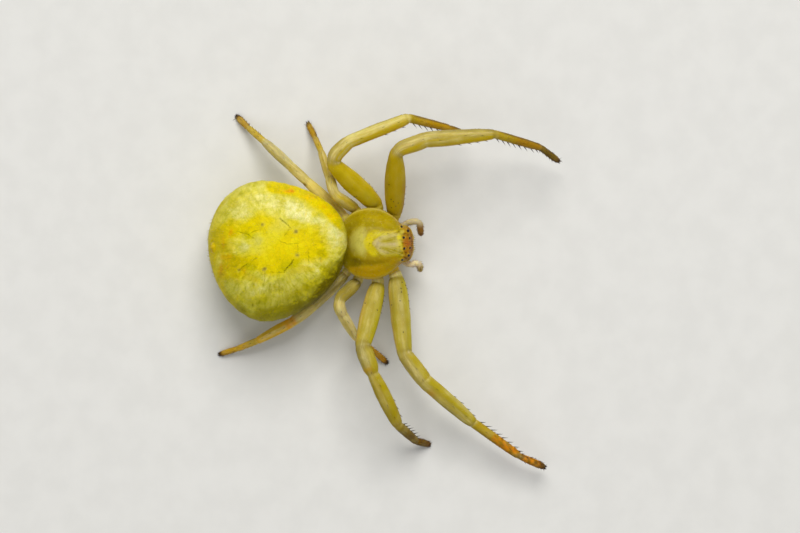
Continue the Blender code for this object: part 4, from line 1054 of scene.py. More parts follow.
        # soft skin at the joints: pale inside, a fine dark line at the edge of each length
        for joint in (2, 3, 4, 5):
            reach = 0.030 if joint < 4 else 0.028
            colour = tint(colour, srgb(214, 200, 128), 0.35 * hill(q + 0.15 * wander, joint, reach) * (0.4 + 0.6 * smooth(-0.3, 0.6, inner)) * (1.0 if joint < 5 else 0.4))
            colour = tint(colour, srgb(132, 102, 20), (0.13 if joint < 4 else 0.28) * hill(q + 0.1 * wander, joint - 0.035, 0.016))
        colour = tint(colour, srgb(92, 52, 8), 0.8 * smooth(5.76, 5.97, q))
        colour = tint(colour, DARK_BROWN, 0.7 * smooth(5.92, 6.0, q))
        if kind == "4" and left:
            colour = tint(colour, srgb(96, 56, 12), 0.9 * hill(q, 1.96, 0.035) * smooth(0.1, 0.8, -inner))
        grain = grain_(p)
        colour = tint(colour, colour * 0.84, np.clip(0.22 * grain, 0, 0.35))
        return tint(colour, tint(colour, srgb(216, 204, 130), 0.4), np.clip(-0.20 * grain, 0, 0.3) * (0.4 if name in ("left_1", "left_2") else 1.0))

    return tone


def palp_tone(q, around, p):
    left = p[:, 0].mean() > 0
    colour = np.broadcast_to(srgb(192, 178, 138) if left else srgb(220, 202, 168), (len(p), 3)).copy()
    colour = tint(colour, srgb(196, 180, 90), 1 - smooth(1.0, 1.3, q))
    tip = srgb(150, 106, 34) if left else srgb(196, 170, 96)
    colour = tint(colour, tip, smooth(3.05, 3.5, q))
    colour = tint(colour, srgb(96, 62, 22), (0.75 if left else 0.4) * smooth(3.7, 4.0, q))
    for joint in (2, 3):
        colour = tint(colour, srgb(150, 120, 60), 0.4 * hill(q, joint - 0.05, 0.03))
    return colour


def plain_tone(base, tip):
    return lambda q, around, p: tint(np.broadcast_to(base, (len(p), 3)), tip, smooth(0.5, 1.0, q))


TONES = {"abdomen": abdomen_tone, "cephalothorax": carapace_tone, "chelicera_left": jaw_tone, "chelicera_right": jaw_tone,
         "palp_left": palp_tone, "palp_right": palp_tone,
         "pedicel": plain_tone(srgb(176, 150, 40), srgb(186, 160, 50)),
         "endite_left": plain_tone(srgb(206, 190, 104), srgb(222, 208, 150)),
         "endite_right": plain_tone(srgb(206, 190, 104), srgb(222, 208, 150)),
         "mouth": plain_tone(srgb(176, 150, 60), srgb(150, 110, 50))}
for _leg in LEGS:
    TONES[f"leg_{_leg}"] = leg_tone(_leg)
TONES["spinneret_0"] = plain_tone(srgb(206, 190, 90), srgb(196, 172, 70))
for _k in range(1, 7):
    TONES[f"spinneret_{_k}"] = plain_tone(srgb(214, 196, 108), srgb(150, 112, 44))


# ----------------------------------------------------------------- materials
class Nodes:
    """Small helper that adds nodes and links them as it goes."""

    def __init__(self, name):
        self.mat = bpy.data.materials.new(name)
        self.mat.use_nodes = True
        self.tree = self.mat.node_tree
        self.shader = self.tree.nodes["Principled BSDF"]

    def put(self, socket, value):
        if isinstance(value, bpy.types.NodeSocket):
            self.tree.links.new(value, socket)
        elif value is not None:
            socket.default_value = value

    def add(self, kind, *values, out=0, **props):
        node = self.tree.nodes.new(kind)
        for key, value in props.items():
            setattr(node, key, value)
        for k, value in enumerate(values):
            self.put(node.inputs[k], value)
        return node.outputs[out]

    def maths(self, operation, a, b=None, clamp=False):
        return self.add("ShaderNodeMath", a, b, operation=operation, use_clamp=clamp)

    def vector(self, operation, a, b=None, out=0):
        return self.add("ShaderNodeVectorMath", a, b, operation=operation, out=out)

    def span(self, value, a, b, low=0.0, high=1.0, kind="SMOOTHSTEP"):
        """value from a to b becomes low to high."""
        return self.add("ShaderNodeMapRange", value, a, b, low, high, interpolation_type=kind, clamp=True)

    def mix(self, share, a, b, how="MIX"):
        node = self.tree.nodes.new("ShaderNodeMix")
        node.data_type = "RGBA"
        node.blend_type = how
        node.clamp_factor = True
        for socket, value in ((node.inputs[0], share), (node.inputs[6], a), (node.inputs[7], b)):
            if isinstance(value, (tuple, np.ndarray)) and len(value) == 3:
                value = (*[float(x) for x in value], 1.0)
            self.put(socket, value)
        return node.outputs[2]

    def noise(self, where, scale, detail=2.0, rough=0.5, out=0):
        node = self.tree.nodes.new("ShaderNodeTexNoise")
        node.noise_dimensions = "3D"
        self.put(node.inputs["Vector"], where)
        node.inputs["Scale"].default_value = scale
        node.inputs["Detail"].default_value = detail
        node.inputs["Roughness"].default_value = rough
        return node.outputs[out]

    def cells(self, where, scale, feature="F1", random=1.0, out="Distance"):
        node = self.tree.nodes.new("ShaderNodeTexVoronoi")
        node.feature = feature
        self.put(node.inputs["Vector"], where)
        node.inputs["Scale"].default_value = scale
        node.inputs["Randomness"].default_value = random
        return node.outputs[out]

    def millimetres(self):
        """Object coordinates in the model's own millimetres."""
        here = self.add("ShaderNodeTexCoord", out=3)
        return self.vector("SUBTRACT", self.scaled(here, 1 / MM), tuple(SHIFT))

    def scaled(self, vector, by):
        node = self.tree.nodes.new("ShaderNodeVectorMath")
        node.operation = "SCALE"
        self.put(node.inputs[0], vector)
        self.put(node.inputs[3], by)
        return node.outputs[0]

    def tone(self):
        node = self.tree.nodes.new("ShaderNodeAttribute")
        node.attribute_type = "GEOMETRY"
        node.attribute_name = "tone"
        return node.outputs["Color"]

    def finish(self, colour, roughness, height=None, distance=0.02, strength=1.0, **numbers):
        self.put(self.shader.inputs["Base Color"], colour)
        self.put(self.shader.inputs["Roughness"], roughness)
        if height is not None:
            node = self.tree.nodes.new("ShaderNodeBump")
            node.inputs["Strength"].default_value = strength
            node.inputs["Distance"].default_value = distance * MM
            self.put(node.inputs["Height"], height)
            self.tree.links.new(node.outputs[0], self.shader.inputs["Normal"])
        for key, value in numbers.items():
            self.shader.inputs[key.replace("_", " ")].default_value = value
        return self.mat


def flesh(deep, scale, shine, coat):
    """Uniform numbers of living, slightly see-into cuticle."""
    return {"Subsurface_Weight": deep, "Subsurface_Radius": (1.0, 0.80, 0.12), "Subsurface_Scale": scale * MM,
            "Specular_IOR_Level": shine, "Coat_Weight": coat, "Coat_Roughness": 0.26}


def abdomen_material():
    n = Nodes("abdomen_cuticle_looks")
    p = n.millimetres()
    base = n.tone()
    blue = n.add("ShaderNodeSeparateColor", base, out=2)
    paleness = n.span(blue, 0.01, 0.20)
    wobble = n.vector("SUBTRACT", n.noise(p, 2.6, 2.0, 0.6, out=1), (0.5, 0.5, 0.5))
    bent = n.vector("ADD", p, n.scaled(wobble, 0.14))
    flat = n.vector("MULTIPLY", bent, (1.0, 1.0, 0.0))
    height_up = n.add("ShaderNodeSeparateXYZ", p, out=2)
    upper = n.span(height_up, 2.9, 3.5)

    # stretched skin: fine streaks that run from the middle of the back to its edge
    middle = n.vector("SUBTRACT", bent, (-0.12, 3.95, 3.0))
    plan = n.vector("MULTIPLY", middle, (1.0, 0.92, 0.30))
    away = n.vector("LENGTH", plan, out=1)
    ray = n.scaled(n.vector("NORMALIZE", plan), 15.0)
    drift = n.vector("ADD", ray, n.scaled(n.vector("NORMALIZE", plan), n.maths("MULTIPLY", away, 0.9)))
    streak = n.noise(drift, 1.0, 3.0, 0.62)
    outer = n.span(away, 0.9, 1.9, 0.25, 1.0)
    pale_streak = n.maths("MULTIPLY", n.span(streak, 0.50, 0.66), outer)
    dark_streak = n.maths("MULTIPLY", n.span(streak, 0.47, 0.33), outer)
    # and finer folds that run the other way, along the edge
    upward = n.tree.nodes.new("ShaderNodeCombineXYZ")
    n.put(upward.inputs[2], n.maths("MULTIPLY", away, 6.5))
    cross = n.noise(n.vector("ADD", n.scaled(n.vector("NORMALIZE", plan), 2.6), upward.outputs[0]), 1.0, 3.0, 0.62)
    side_ = n.add("ShaderNodeSeparateXYZ", p, out=0)
    lefty = n.span(side_, -0.6, 1.2, 0.25, 1.0)
    righty = n.span(side_, 0.8, -0.8, 0.35, 1.0)
    fold = n.maths("MULTIPLY", n.maths("MULTIPLY", n.span(cross, 0.47, 0.34), outer), lefty)
    ridge = n.maths("MULTIPLY", n.maths("MULTIPLY", n.span(cross, 0.53, 0.68), outer), lefty)
    pale_ray = n.maths("MULTIPLY", pale_streak, righty)
    dark_ray = n.maths("MULTIPLY", dark_streak, righty)

    broad = n.noise(n.vector("ADD", n.scaled(n.vector("NORMALIZE", plan), 5.5), n.scaled(n.vector("NORMALIZE", plan), n.maths("MULTIPLY", away, 0.9))), 1.0, 3.0, 0.66)
    broad = n.maths("SUBTRACT", broad, 0.5)
    net = n.cells(n.vector("ADD", p, n.scaled(wobble, 0.5)), 2.7, "DISTANCE_TO_EDGE")
    clot = n.noise(n.vector("ADD", p, (7.3, 2.1, 4.4)), 2.1, 3.0, 0.62)
    full = n.maths("SUBTRACT", 1.0, paleness)
    mottle = n.noise(p, 6.0, 4.0, 0.66)
    blotch = n.noise(p, 2.3, 3.0, 0.6)
    grain = n.span(n.cells(p, 11.0), 0.10, 0.48, 1.0, 0.0)
    colour = n.mix(n.maths("MULTIPLY", n.span(blotch, 0.50, 0.64), n.maths("MULTIPLY", paleness, 0.55)), base, srgb(222, 206, 26))
    colour = n.mix(n.maths("MULTIPLY", n.span(blotch, 0.47, 0.36), n.maths("MULTIPLY", paleness, 0.45)), colour, srgb(240, 232, 150))
    colour = n.mix(n.maths("MULTIPLY", pale_ray, n.maths("MULTIPLY", paleness, 0.62)), colour, srgb(240, 232, 150))
    colour = n.mix(n.maths("MULTIPLY", dark_ray, 0.50), colour, n.mix(1.0, colour, (0.62, 0.66, 0.10), "MULTIPLY"))
    colour = n.mix(n.maths("MULTIPLY", ridge, n.maths("MULTIPLY", paleness, 0.44)), colour, srgb(242, 234, 150))
    colour = n.mix(n.maths("MULTIPLY", fold, 0.40), colour, n.mix(1.0, colour, (0.66, 0.68, 0.16), "MULTIPLY"))
    colour = n.mix(n.maths("MULTIPLY", n.span(mottle, 0.54, 0.70), n.maths("MULTIPLY", paleness, 0.26)), colour, srgb(243, 236, 168))
    colour = n.mix(n.span(mottle, 0.48, 0.34, 0.0, 0.20), colour, n.mix(1.0, colour, (0.76, 0.76, 0.20), "MULTIPLY"))
    # lemon parts: paler clots, darker clots, and a fine olive net between them
    inner = n.maths("MULTIPLY", full, n.span(height_up, 3.2, 4.0))
    colour = n.mix(n.maths("MULTIPLY", n.span(clot, 0.52, 0.66), n.maths("MULTIPLY", inner, 0.50)), colour, srgb(234, 220, 44))
    colour = n.mix(n.maths("MULTIPLY", n.span(clot, 0.47, 0.35), n.maths("MULTIPLY", inner, 0.42)), colour, srgb(200, 184, 0))
    colour = n.mix(n.maths("MULTIPLY", n.span(net, 0.06, 0.0), n.maths("MULTIPLY", n.span(height_up, 2.6, 3.6), 0.30)), colour, n.mix(1.0, colour, (0.60, 0.64, 0.20), "MULTIPLY"))
    # fan of broad soft streaks over the flanks
    colour = n.mix(n.maths("MULTIPLY", n.span(broad, 0.02, 0.12), n.maths("MULTIPLY", outer, 0.48)), colour, n.mix(1.0, colour, (1.22, 1.24, 1.9), "MULTIPLY"))
    colour = n.mix(n.maths("MULTIPLY", n.span(broad, -0.02, -0.12), n.maths("MULTIPLY", outer, 0.50)), colour, n.mix(1.0, colour, (0.70, 0.72, 0.30), "MULTIPLY"))
    colour = n.mix(n.maths("MULTIPLY", grain, n.maths("MULTIPLY", paleness, 0.10)), colour, srgb(246, 242, 190))
    colour = n.mix(n.maths("MULTIPLY", n.span(n.cells(p, 4.2, "DISTANCE_TO_EDGE"), 0.0, 0.07, 1.0, 0.0), 0.12), colour, srgb(170, 158, 6))

    tremble = n.vector("SUBTRACT", n.noise(p, 9.0, 2.0, 0.6, out=1), (0.5, 0.5, 0.5))
    shaky = n.vector("MULTIPLY", n.vector("ADD", bent, n.scaled(tremble, 0.10)), (1.0, 1.0, 0.0))

    def stroke(ends, half, soft):
        (af, al), (bf, bl) = ends
        a, b = np.array((al, -af, 0.0)), np.array((bl, -bf, 0.0))
        ba = b - a
        pa = n.vector("SUBTRACT", shaky, tuple(a))
        h = n.maths("DIVIDE", n.vector("DOT_PRODUCT", pa, tuple(ba), out=1), float(ba @ ba), clamp=True)
        on = n.tree.nodes.new("ShaderNodeVectorMath")
        on.operation = "SCALE"
        on.inputs[0].default_value = tuple(ba)
        n.put(on.inputs[3], h)
        d = n.vector("LENGTH", n.vector("SUBTRACT", pa, on.outputs[0]), out=1)
        # thins toward both ends
        thin = n.maths("MULTIPLY", n.maths("ABSOLUTE", n.maths("SUBTRACT", h, 0.5)), 0.030)
        return n.span(n.maths("ADD", d, thin), half, half + soft, 1.0, 0.0)

    strong = None
    for start, stop, strength in CREASES:
        s = n.maths("MULTIPLY", stroke((start, stop), 0.000, 0.062), strength)
        strong = s if strong is None else n.maths("MAXIMUM", strong, s)
    faint = None
    for ends in FAINT_CREASES:
        s = stroke(ends, -0.004, 0.060)
        faint = s if faint is None else n.maths("MAXIMUM", faint, s)
    broken = n.span(n.noise(p, 5.0, 2.0, 0.6), 0.40, 0.56, 0.35, 1.0)
    colour = n.mix(n.maths("MULTIPLY", n.maths("MULTIPLY", strong, upper), n.maths("MULTIPLY", broken, 0.92)), colour, srgb(108, 102, 0))
    colour = n.mix(n.maths("MULTIPLY", n.maths("MULTIPLY", faint, upper), n.maths("MULTIPLY", broken, 0.66)), colour, srgb(142, 130, 0))
    pits = None
    for sf, sl, width, depth in SIGILLA:
        d = n.vector("DISTANCE", flat, (sl, -sf, 0.0), out=1)
        s = n.maths("MULTIPLY", n.span(n.maths("ADD", d, n.maths("MULTIPLY", n.maths("SUBTRACT", mottle, 0.5), 0.16)), width * 0.10, width * 1.8, 1.0, 0.0), min(1.0, depth / 0.034))
        pits = s if pits is None else n.maths("MAXIMUM", pits, s)
    colour = n.mix(n.maths("MULTIPLY", n.maths("MULTIPLY", pits, upper), 0.86), colour, srgb(138, 122, 58))

    colour = n.vector("MAXIMUM", n.vector("SUBTRACT", colour, (0.0, 0.0, 0.011)), (0.0, 0.0, 0.0))

    relief = n.maths("ADD", n.maths("MULTIPLY", grain, 0.20), n.maths("MULTIPLY", mottle, 0.8))
    relief = n.maths("SUBTRACT", relief, n.maths("MULTIPLY", strong, 0.6))
    relief = n.maths("SUBTRACT", relief, n.maths("MULTIPLY", n.maths("ADD", dark_ray, fold), 0.60))
    relief = n.maths("ADD", relief, n.maths("MULTIPLY", n.maths("ADD", pale_ray, ridge), 0.30))
    rough = n.span(mottle, 0.35, 0.65, 0.42, 0.56, "LINEAR")
    return n.finish(colour, rough, relief, 0.016, 0.9, **flesh(0.40, 0.26, 0.05, 0.0))


def carapace_material():
    n = Nodes("carapace_cuticle_looks")
    p = n.millimetres()
    base = n.tone()
    hub = n.vector("MULTIPLY", n.vector("SUBTRACT", p, (0.0, 0.30, 2.2)), (1.0, 1.0, 0.4))
    away = n.vector("LENGTH", hub, out=1)
    rays = n.noise(n.vector("ADD", n.scaled(n.vector("NORMALIZE", hub), 9.0), n.scaled(n.vector("NORMALIZE", hub), n.maths("MULTIPLY", away, 1.2))), 1.0, 3.0, 0.6)
    outer = n.span(away, 0.5, 1.0)
    colour = n.mix(n.maths("MULTIPLY", n.span(rays, 0.50, 0.70), n.maths("MULTIPLY", outer, 0.26)), base, srgb(210, 192, 60))
    colour = n.mix(n.span(n.noise(p, 5.0, 3.0, 0.65), 0.52, 0.72, 0.0, 0.30), colour, srgb(136, 114, 2))
    colour = n.mix(n.span(n.noise(p, 8.0, 3.0, 0.6), 0.54, 0.72, 0.0, 0.26), colour, srgb(216, 202, 112))
    veins = n.span(n.cells(n.vector("ADD", p, n.scaled(n.noise(p, 4.0, 2.0, 0.5, out=1), 0.2)), 4.5, "DISTANCE_TO_EDGE"), 0.0, 0.06, 1.0, 0.0)
    colour = n.mix(n.maths("MULTIPLY", veins, 0.10), colour, srgb(150, 130, 20))
    tip = n.vector("MULTIPLY", n.vector("SUBTRACT", p, (0.01, -0.10, 2.7)), (1.0, 1.0, 0.0))
    reach = n.vector("LENGTH", tip, out=1)
    comb = n.noise(n.vector("ADD", n.scaled(n.vector("NORMALIZE", tip), 16.0), n.scaled(n.vector("NORMALIZE", tip), n.maths("MULTIPLY", reach, 1.0))), 1.0, 3.0, 0.62)
    on_head = n.maths("MULTIPLY", n.span(reach, 0.30, 0.55), n.span(reach, 1.75, 1.35))
    ahead = n.span(n.add("ShaderNodeSeparateXYZ", tip, out=1), -0.05, -0.30)
    across = n.maths("ABSOLUTE", n.add("ShaderNodeSeparateXYZ", tip, out=0))
    on_head = n.maths("MULTIPLY", on_head, n.maths("MULTIPLY", ahead, n.span(across, 0.62, 0.44)))
    colour = n.mix(n.maths("MULTIPLY", n.span(comb, 0.50, 0.62), n.maths("MULTIPLY", on_head, 0.30)), colour, srgb(208, 196, 120))
    colour = n.mix(n.maths("MULTIPLY", n.span(comb, 0.48, 0.36), n.maths("MULTIPLY", on_head, 0.40)), colour, srgb(150, 134, 14))
    colour = n.vector("MAXIMUM", n.vector("SUBTRACT", colour, (0.0, 0.0, 0.008)), (0.0, 0.0, 0.0))
    relief = n.maths("ADD", n.noise(p, 16.0, 3.0, 0.55), n.maths("MULTIPLY", n.span(n.cells(p, 8.0, "DISTANCE_TO_EDGE"), 0.0, 0.08), 0.25))
    rough = n.span(n.noise(p, 7.0, 2.0, 0.5), 0.3, 0.7, 0.34, 0.46, "LINEAR")
    return n.finish(colour, rough, relief, 0.006, 0.7, **flesh(0.50, 0.34, 0.11, 0.01))


def leg_material():
    n = Nodes("leg_cuticle_looks")
    p = n.millimetres()
    base = n.tone()
    pale = n.span(n.add("ShaderNodeSeparateColor", base, out=2), 0.01, 0.12)
    # muscle fibres under the skin: fine streaks that run the length of each leg
    place_on_map = n.tree.nodes.new("ShaderNodeUVMap")
    place_on_map.uv_map = "OFBake"
    split = n.tree.nodes.new("ShaderNodeSeparateXYZ")
    n.put(split.inputs[0], place_on_map.outputs[0])
    on_leg = n.span(split.outputs[1], 0.384, 0.388, 1.0, 0.0)
    turn = n.maths("FRACT", n.maths("DIVIDE", n.maths("SUBTRACT", split.outputs[1], 0.015), 0.093))
    turn = n.maths("MULTIPLY", turn, 2 * math.pi * 0.093 / 0.085)

    def fibres(round_, length):
        where = n.tree.nodes.new("ShaderNodeCombineXYZ")
        n.put(where.inputs[0], n.maths("MULTIPLY", n.maths("COSINE", turn), round_))
        n.put(where.inputs[1], n.maths("MULTIPLY", n.maths("SINE", turn), round_))
        n.put(where.inputs[2], n.maths("MULTIPLY", split.outputs[0], length))
        return n.noise(where.outputs[0], 1.0, 3.0, 0.6)

    thread, strand = fibres(3.6, 46.0), fibres(1.7, 22.0)
    colour = n.mix(n.maths("MULTIPLY", n.maths("MULTIPLY", n.span(thread, 0.50, 0.66), on_leg), n.maths("MULTIPLY", pale, 0.42)), base, srgb(232, 220, 150))
    colour = n.mix(n.maths("MULTIPLY", n.maths("MULTIPLY", n.span(thread, 0.50, 0.36), on_leg), 0.24), colour, srgb(176, 152, 10))
    colour = n.mix(n.maths("MULTIPLY", n.maths("MULTIPLY", n.span(strand, 0.46, 0.34), on_leg), n.maths("MULTIPLY", pale, 0.36)), colour, srgb(190, 166, 20))
    cloud = n.noise(p, 3.2, 3.0, 0.6)
    colour = n.mix(n.maths("MULTIPLY", n.span(cloud, 0.52, 0.74, 0.0, 0.20), pale), colour, srgb(222, 208, 130))
    colour = n.mix(n.span(n.noise(p, 6.5, 3.0, 0.6), 0.54, 0.76, 0.0, 0.18), colour, srgb(158, 134, 16))
    dots = n.span(n.cells(p, 12.0), 0.06, 0.30, 1.0, 0.0)
    colour = n.mix(n.maths("MULTIPLY", n.maths("MULTIPLY", dots, pale), 0.13), colour, srgb(226, 214, 140))
    pores = n.span(n.cells(n.vector("ADD", p, (3.7, 1.9, 5.3)), 7.0), 0.04, 0.10, 1.0, 0.0)
    colour = n.mix(n.maths("MULTIPLY", pores, 0.28), colour, srgb(120, 94, 16))
    relief = n.maths("ADD", n.noise(p, 14.0, 3.0, 0.6), n.maths("MULTIPLY", dots, 0.15))
    relief = n.maths("SUBTRACT", relief, n.maths("MULTIPLY", pores, 0.4))
    rough = n.span(n.noise(p, 8.0, 2.0, 0.5), 0.3, 0.7, 0.48, 0.62, "LINEAR")
    return n.finish(colour, rough, relief, 0.007, 0.8, **flesh(0.60, 0.36, 0.14, 0.02))


def eye_material():
    n = Nodes("eye_looks")
    p = n.millimetres()
    glint = n.noise(p, 18.0, 2.0, 0.5)
    colour = n.mix(n.span(glint, 0.35, 0.75), srgb(8, 5, 4), srgb(36, 18, 8))
    return n.finish(colour, n.span(glint, 0.3, 0.7, 0.05, 0.12, "LINEAR"), glint, 0.001, 0.2,
                    Specular_IOR_Level=0.35, Coat_Weight=0.35, Coat_Roughness=0.05)


def dark_material(name, a, b, rough=(0.28, 0.46)):
    n = Nodes(name)
    p = n.millimetres()
    grain = n.noise(p, 22.0, 3.0, 0.6)
    colour = n.mix(n.span(grain, 0.35, 0.70), a, b)
    return n.finish(colour, n.span(grain, 0.3, 0.7, *rough, "LINEAR"), grain, 0.002, 0.5, Specular_IOR_Level=0.2)


def hair_material(name, share):
    """Hairs take the colour of the skin they grow from, a little bleached or browned."""
    n = Nodes(name)
    p = n.millimetres()
    grain = n.noise(p, 9.0, 2.0, 0.5)
    skin_tone = n.tone()
    light = n.span(n.add("ShaderNodeSeparateColor", skin_tone, out=1), 0.08, 0.26)
    colour = n.mix(n.maths("MULTIPLY", n.span(grain, 0.35, 0.70, share, share + 0.25), light), skin_tone, srgb(232, 220, 160))
    return n.finish(colour, n.span(grain, 0.3, 0.7, 0.32, 0.50, "LINEAR"), grain, 0.001, 0.3, Specular_IOR_Level=0.5)


# ------------------------------------------------------------------ the skin
parts = {}
for part in ([make_cephalothorax(), make_abdomen()] + [make_leg(name) for name in LEGS]
             + [make_palp("left"), make_palp("right")]
             + [make_chelicera("chelicera_left", 1), make_chelicera("chelicera_right", -1)]
             + make_spinnerets()
             + [make_rod("pedicel", [(-1.02, 0.02, 1.86), (-1.30, 0.02, 1.77), (-1.50, 0.03, 1.70), (-1.78, 0.03, 1.66)],
                         ((0, 0.26), (0.35, 0.235), (0.6, 0.205), (0.8, 0.23), (1, 0.26)), 1, m=24, flat=0.82),
                make_rod("endite_left", [(0.95, 0.36, 1.47), (1.30, 0.30, 1.46), (1.60, 0.17, 1.44), (1.68, 0.13, 1.43)],
                         ((0, 0.12), (0.3, 0.165), (0.75, 0.13), (0.93, 0.085), (1, 0.03)), 1, flat=0.75),
                make_rod("endite_right", [(0.95, -0.35, 1.47), (1.30, -0.29, 1.46), (1.60, -0.13, 1.44), (1.68, -0.09, 1.43)],
                         ((0, 0.12), (0.3, 0.165), (0.75, 0.13), (0.93, 0.085), (1, 0.03)), 1, flat=0.75),
                make_rod("mouth", [(0.85, 0.02, 1.80), (1.30, 0.02, 1.82), (1.62, 0.02, 1.90), (1.80, 0.02, 1.95)],
                         ((0, 0.30), (0.4, 0.42), (0.8, 0.36), (1, 0.20)), 1, m=28, flat=0.62)]):
    parts[part.name] = part

finishes = [abdomen_material(), carapace_material(), leg_material()]
skin = None
for part in parts.values():
    me = part.mesh()
    for finish in finishes:
        me.materials.append(finish)
    ob = shown(part.name, me)
    if skin is None:
        skin = ob
        continue
    join = skin.modifiers.new("join", "BOOLEAN")
    join.operation, join.solver, join.object, join.material_mode = "UNION", "MANIFOLD", ob, "INDEX"
    joined = bpy.data.meshes.new_from_object(skin.evaluated_get(bpy.context.evaluated_depsgraph_get()))
    skin.modifiers.clear()
    skin.data = joined
    bpy.data.objects.remove(ob)
skin.name = "skin"
skin.data.name = "skin"


def numbers(items, key, width, kind=np.float32):
    out = np.zeros(len(items) * width, kind)
    items.foreach_get(key, out)
    return out.reshape(-1, width) if width > 1 else out


def tone_of(name, along, around, p):
    """Marking colours at shares along and around a part; p in the model's millimetres."""
    part = parts[name]
    s = part.s / part.s[-1]
    q = np.interp(along, s, part.q)
    return np.clip(TONES[name](q, around * 2 * math.pi, p), 0.0, 1.0)


def paint_skin(me):
    """Markings at every point of the skin, worked out from where it lies on the body."""
    uv = numbers(me.uv_layers["OFBake"].data, "uv", 2).astype(float)
    corner = numbers(me.loops, "vertex_index", 1, np.int32)
    co = numbers(me.vertices, "co", 3).astype(float) / MM - SHIFT
    total = np.zeros((len(co), 3))
    count = np.zeros(len(co))
    for name, strip in STRIPS.items():
        u0, v0, u1, v1, _ = strip
        inside = ((uv[:, 0] > u0 - 1e-4) & (uv[:, 0] < u1 + 1e-4) & (uv[:, 1] > v0 - 1e-4) & (uv[:, 1] < v1 + 1e-4))
        if not inside.any():
            continue
        along, around = off_map(strip, uv[inside])
        colour = tone_of(name, along, around, co[corner[inside]])
        np.add.at(total, corner[inside], colour)
        np.add.at(count, corner[inside], 1)
    total /= np.maximum(count, 1)[:, None]
    tone = me.color_attributes.new("tone", "FLOAT_COLOR", "POINT")
    tone.data.foreach_set("color", np.concatenate((total, np.ones((len(co), 1))), 1).astype(np.float32).ravel())


paint_skin(skin.data)
skin.data.shade_smooth()
skin.data.set_sharp_from_angle(angle=math.radians(70))
print("skin", len(skin.data.polygons), "faces", len(skin.data.vertices), "points")


# --------------------------------------------------------------------- hairs
class Hairs:
    """Many tapered hairs made into one mesh."""

    def __init__(self, name, sides, levels):
        self.name, self.sides, self.levels = name, sides, levels
        self.verts, self.quads, self.tris, self.quad_uv, self.tri_uv, self.tones = [], [], [], [], [], []
        self.count = 0

    def grow(self, root, out, way, length, radius, lean, curl, uv, tone):
        """root, surface direction, lie direction; lean is how far it lies down, 0 upright to 1 flat."""
        n = len(root)
        if not n:
            return
        length, radius, lean, curl = (np.broadcast_to(x, n).astype(float)[:, None] for x in (length, radius, lean, curl))
        way = unit(way - out * (way * out).sum(-1, keepdims=True))
        start = unit(out * (1 - lean) + way * lean)
        end = unit(start + way * curl)
        side = unit(np.cross(start, way + out * 0.01))
        k, levels = self.sides, self.levels
        share = np.linspace(0, 1, levels + 1)[:-1]
        angles = 2 * math.pi * np.arange(k) / k
        cloud = []
        for t in share:
            centre = root - out * radius * 0.8 + (start * (t - t * t / 2) + end * (t * t / 2)) * length
            axis = unit(start * (1 - t) + end * t)
            other = np.cross(axis, side)
            r = radius * (1 - t) ** 0.8 * (1.25 if t == 0 else 1.0)
            for a in angles:
                cloud.append(centre + (side * math.cos(a) + other * math.sin(a)) * r)
        tip = root + (start * 0.5 + end * 0.5) * length
        base = root - out * radius * 1.2
        cloud += [tip, base]
        per = k * levels + 2
        verts = np.stack(cloud, 1).reshape(-1, 3)
        off = (np.arange(n) * per)[:, None] + self.count

        def at(ring, side_, size=0.0015):
            return uv + np.stack((np.full(n, size * (2 * side_ / k - 1)), np.full(n, size * (2 * ring / levels - 1))), -1)

        for ring in range(levels - 1):
            for j in range(k):
                a, b = ring * k + j, ring * k + (j + 1) % k
                self.quads.append(off + np.array([[a, b, b + k, a + k]]))
                self.quad_uv.append(np.stack((at(ring, j), at(ring, j + 1), at(ring + 1, j + 1), at(ring + 1, j)), 1))
        last = (levels - 1) * k
        for j in range(k):
            self.tris.append(off + np.array([[last + j, last + (j + 1) % k, k * levels]]))
            self.tri_uv.append(np.stack((at(levels - 1, j), at(levels - 1, j + 1), at(levels, j + 0.5)), 1))
            self.tris.append(off + np.array([[(j + 1) % k, j, k * levels + 1]]))
            self.tri_uv.append(np.stack((at(0, j + 1), at(0, j), at(0, j + 0.5)), 1))
        self.verts.append(verts)
        self.tones.append(np.repeat(np.broadcast_to(tone, (n, 3)), per, 0))
        self.count += n * per

    def build(self, material):
        verts = np.concatenate(self.verts)
        verts[:, 2] = np.maximum(verts[:, 2], 0.003 + 0.004 * (np.arange(len(verts)) % 3))
        me = mesh_of(self.name, verts, np.concatenate(self.quads), np.concatenate(self.tris),
                     np.concatenate(self.quad_uv), np.concatenate(self.tri_uv))
        tones = np.concatenate(self.tones)
        attr = me.color_attributes.new("tone", "FLOAT_COLOR", "POINT")
        attr.data.foreach_set("color", np.concatenate((tones, np.ones((len(tones), 1))), 1).astype(np.float32).ravel())
        me.materials.append(material)
        ob = shown(self.name, me)
        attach(ob, "root")
        print(self.name, len(self.quads) and sum(len(x) for x in self.quads) * 2 + sum(len(x) for x in self.tris), "triangles")
        return ob


rng = np.random.default_rng(7)


def roots(part, q, a):
    """Roots at length codes q and shares a of the way round."""
    q, a = np.atleast_1d(np.asarray(q, float)), np.atleast_1d(np.asarray(a, float))
    q, a = np.broadcast_arrays(q, a)
    i = part.ring_at(q)
    p, out, way, code, uv = part.spots(i, a)
    along = np.interp(i, np.arange(len(part.s)), part.s / part.s[-1])
    return p, out, way, uv, tone_of(part.name, along, a % 1.0, p)


fine = Hairs("hair_fine", 3, 2)
dark = Hairs("hair_dark", 4, 3)
spines = Hairs("spines", 7, 5)
tufts = Hairs("claw_tufts", 4, 3)
claws = Hairs("claws", 8, 6)

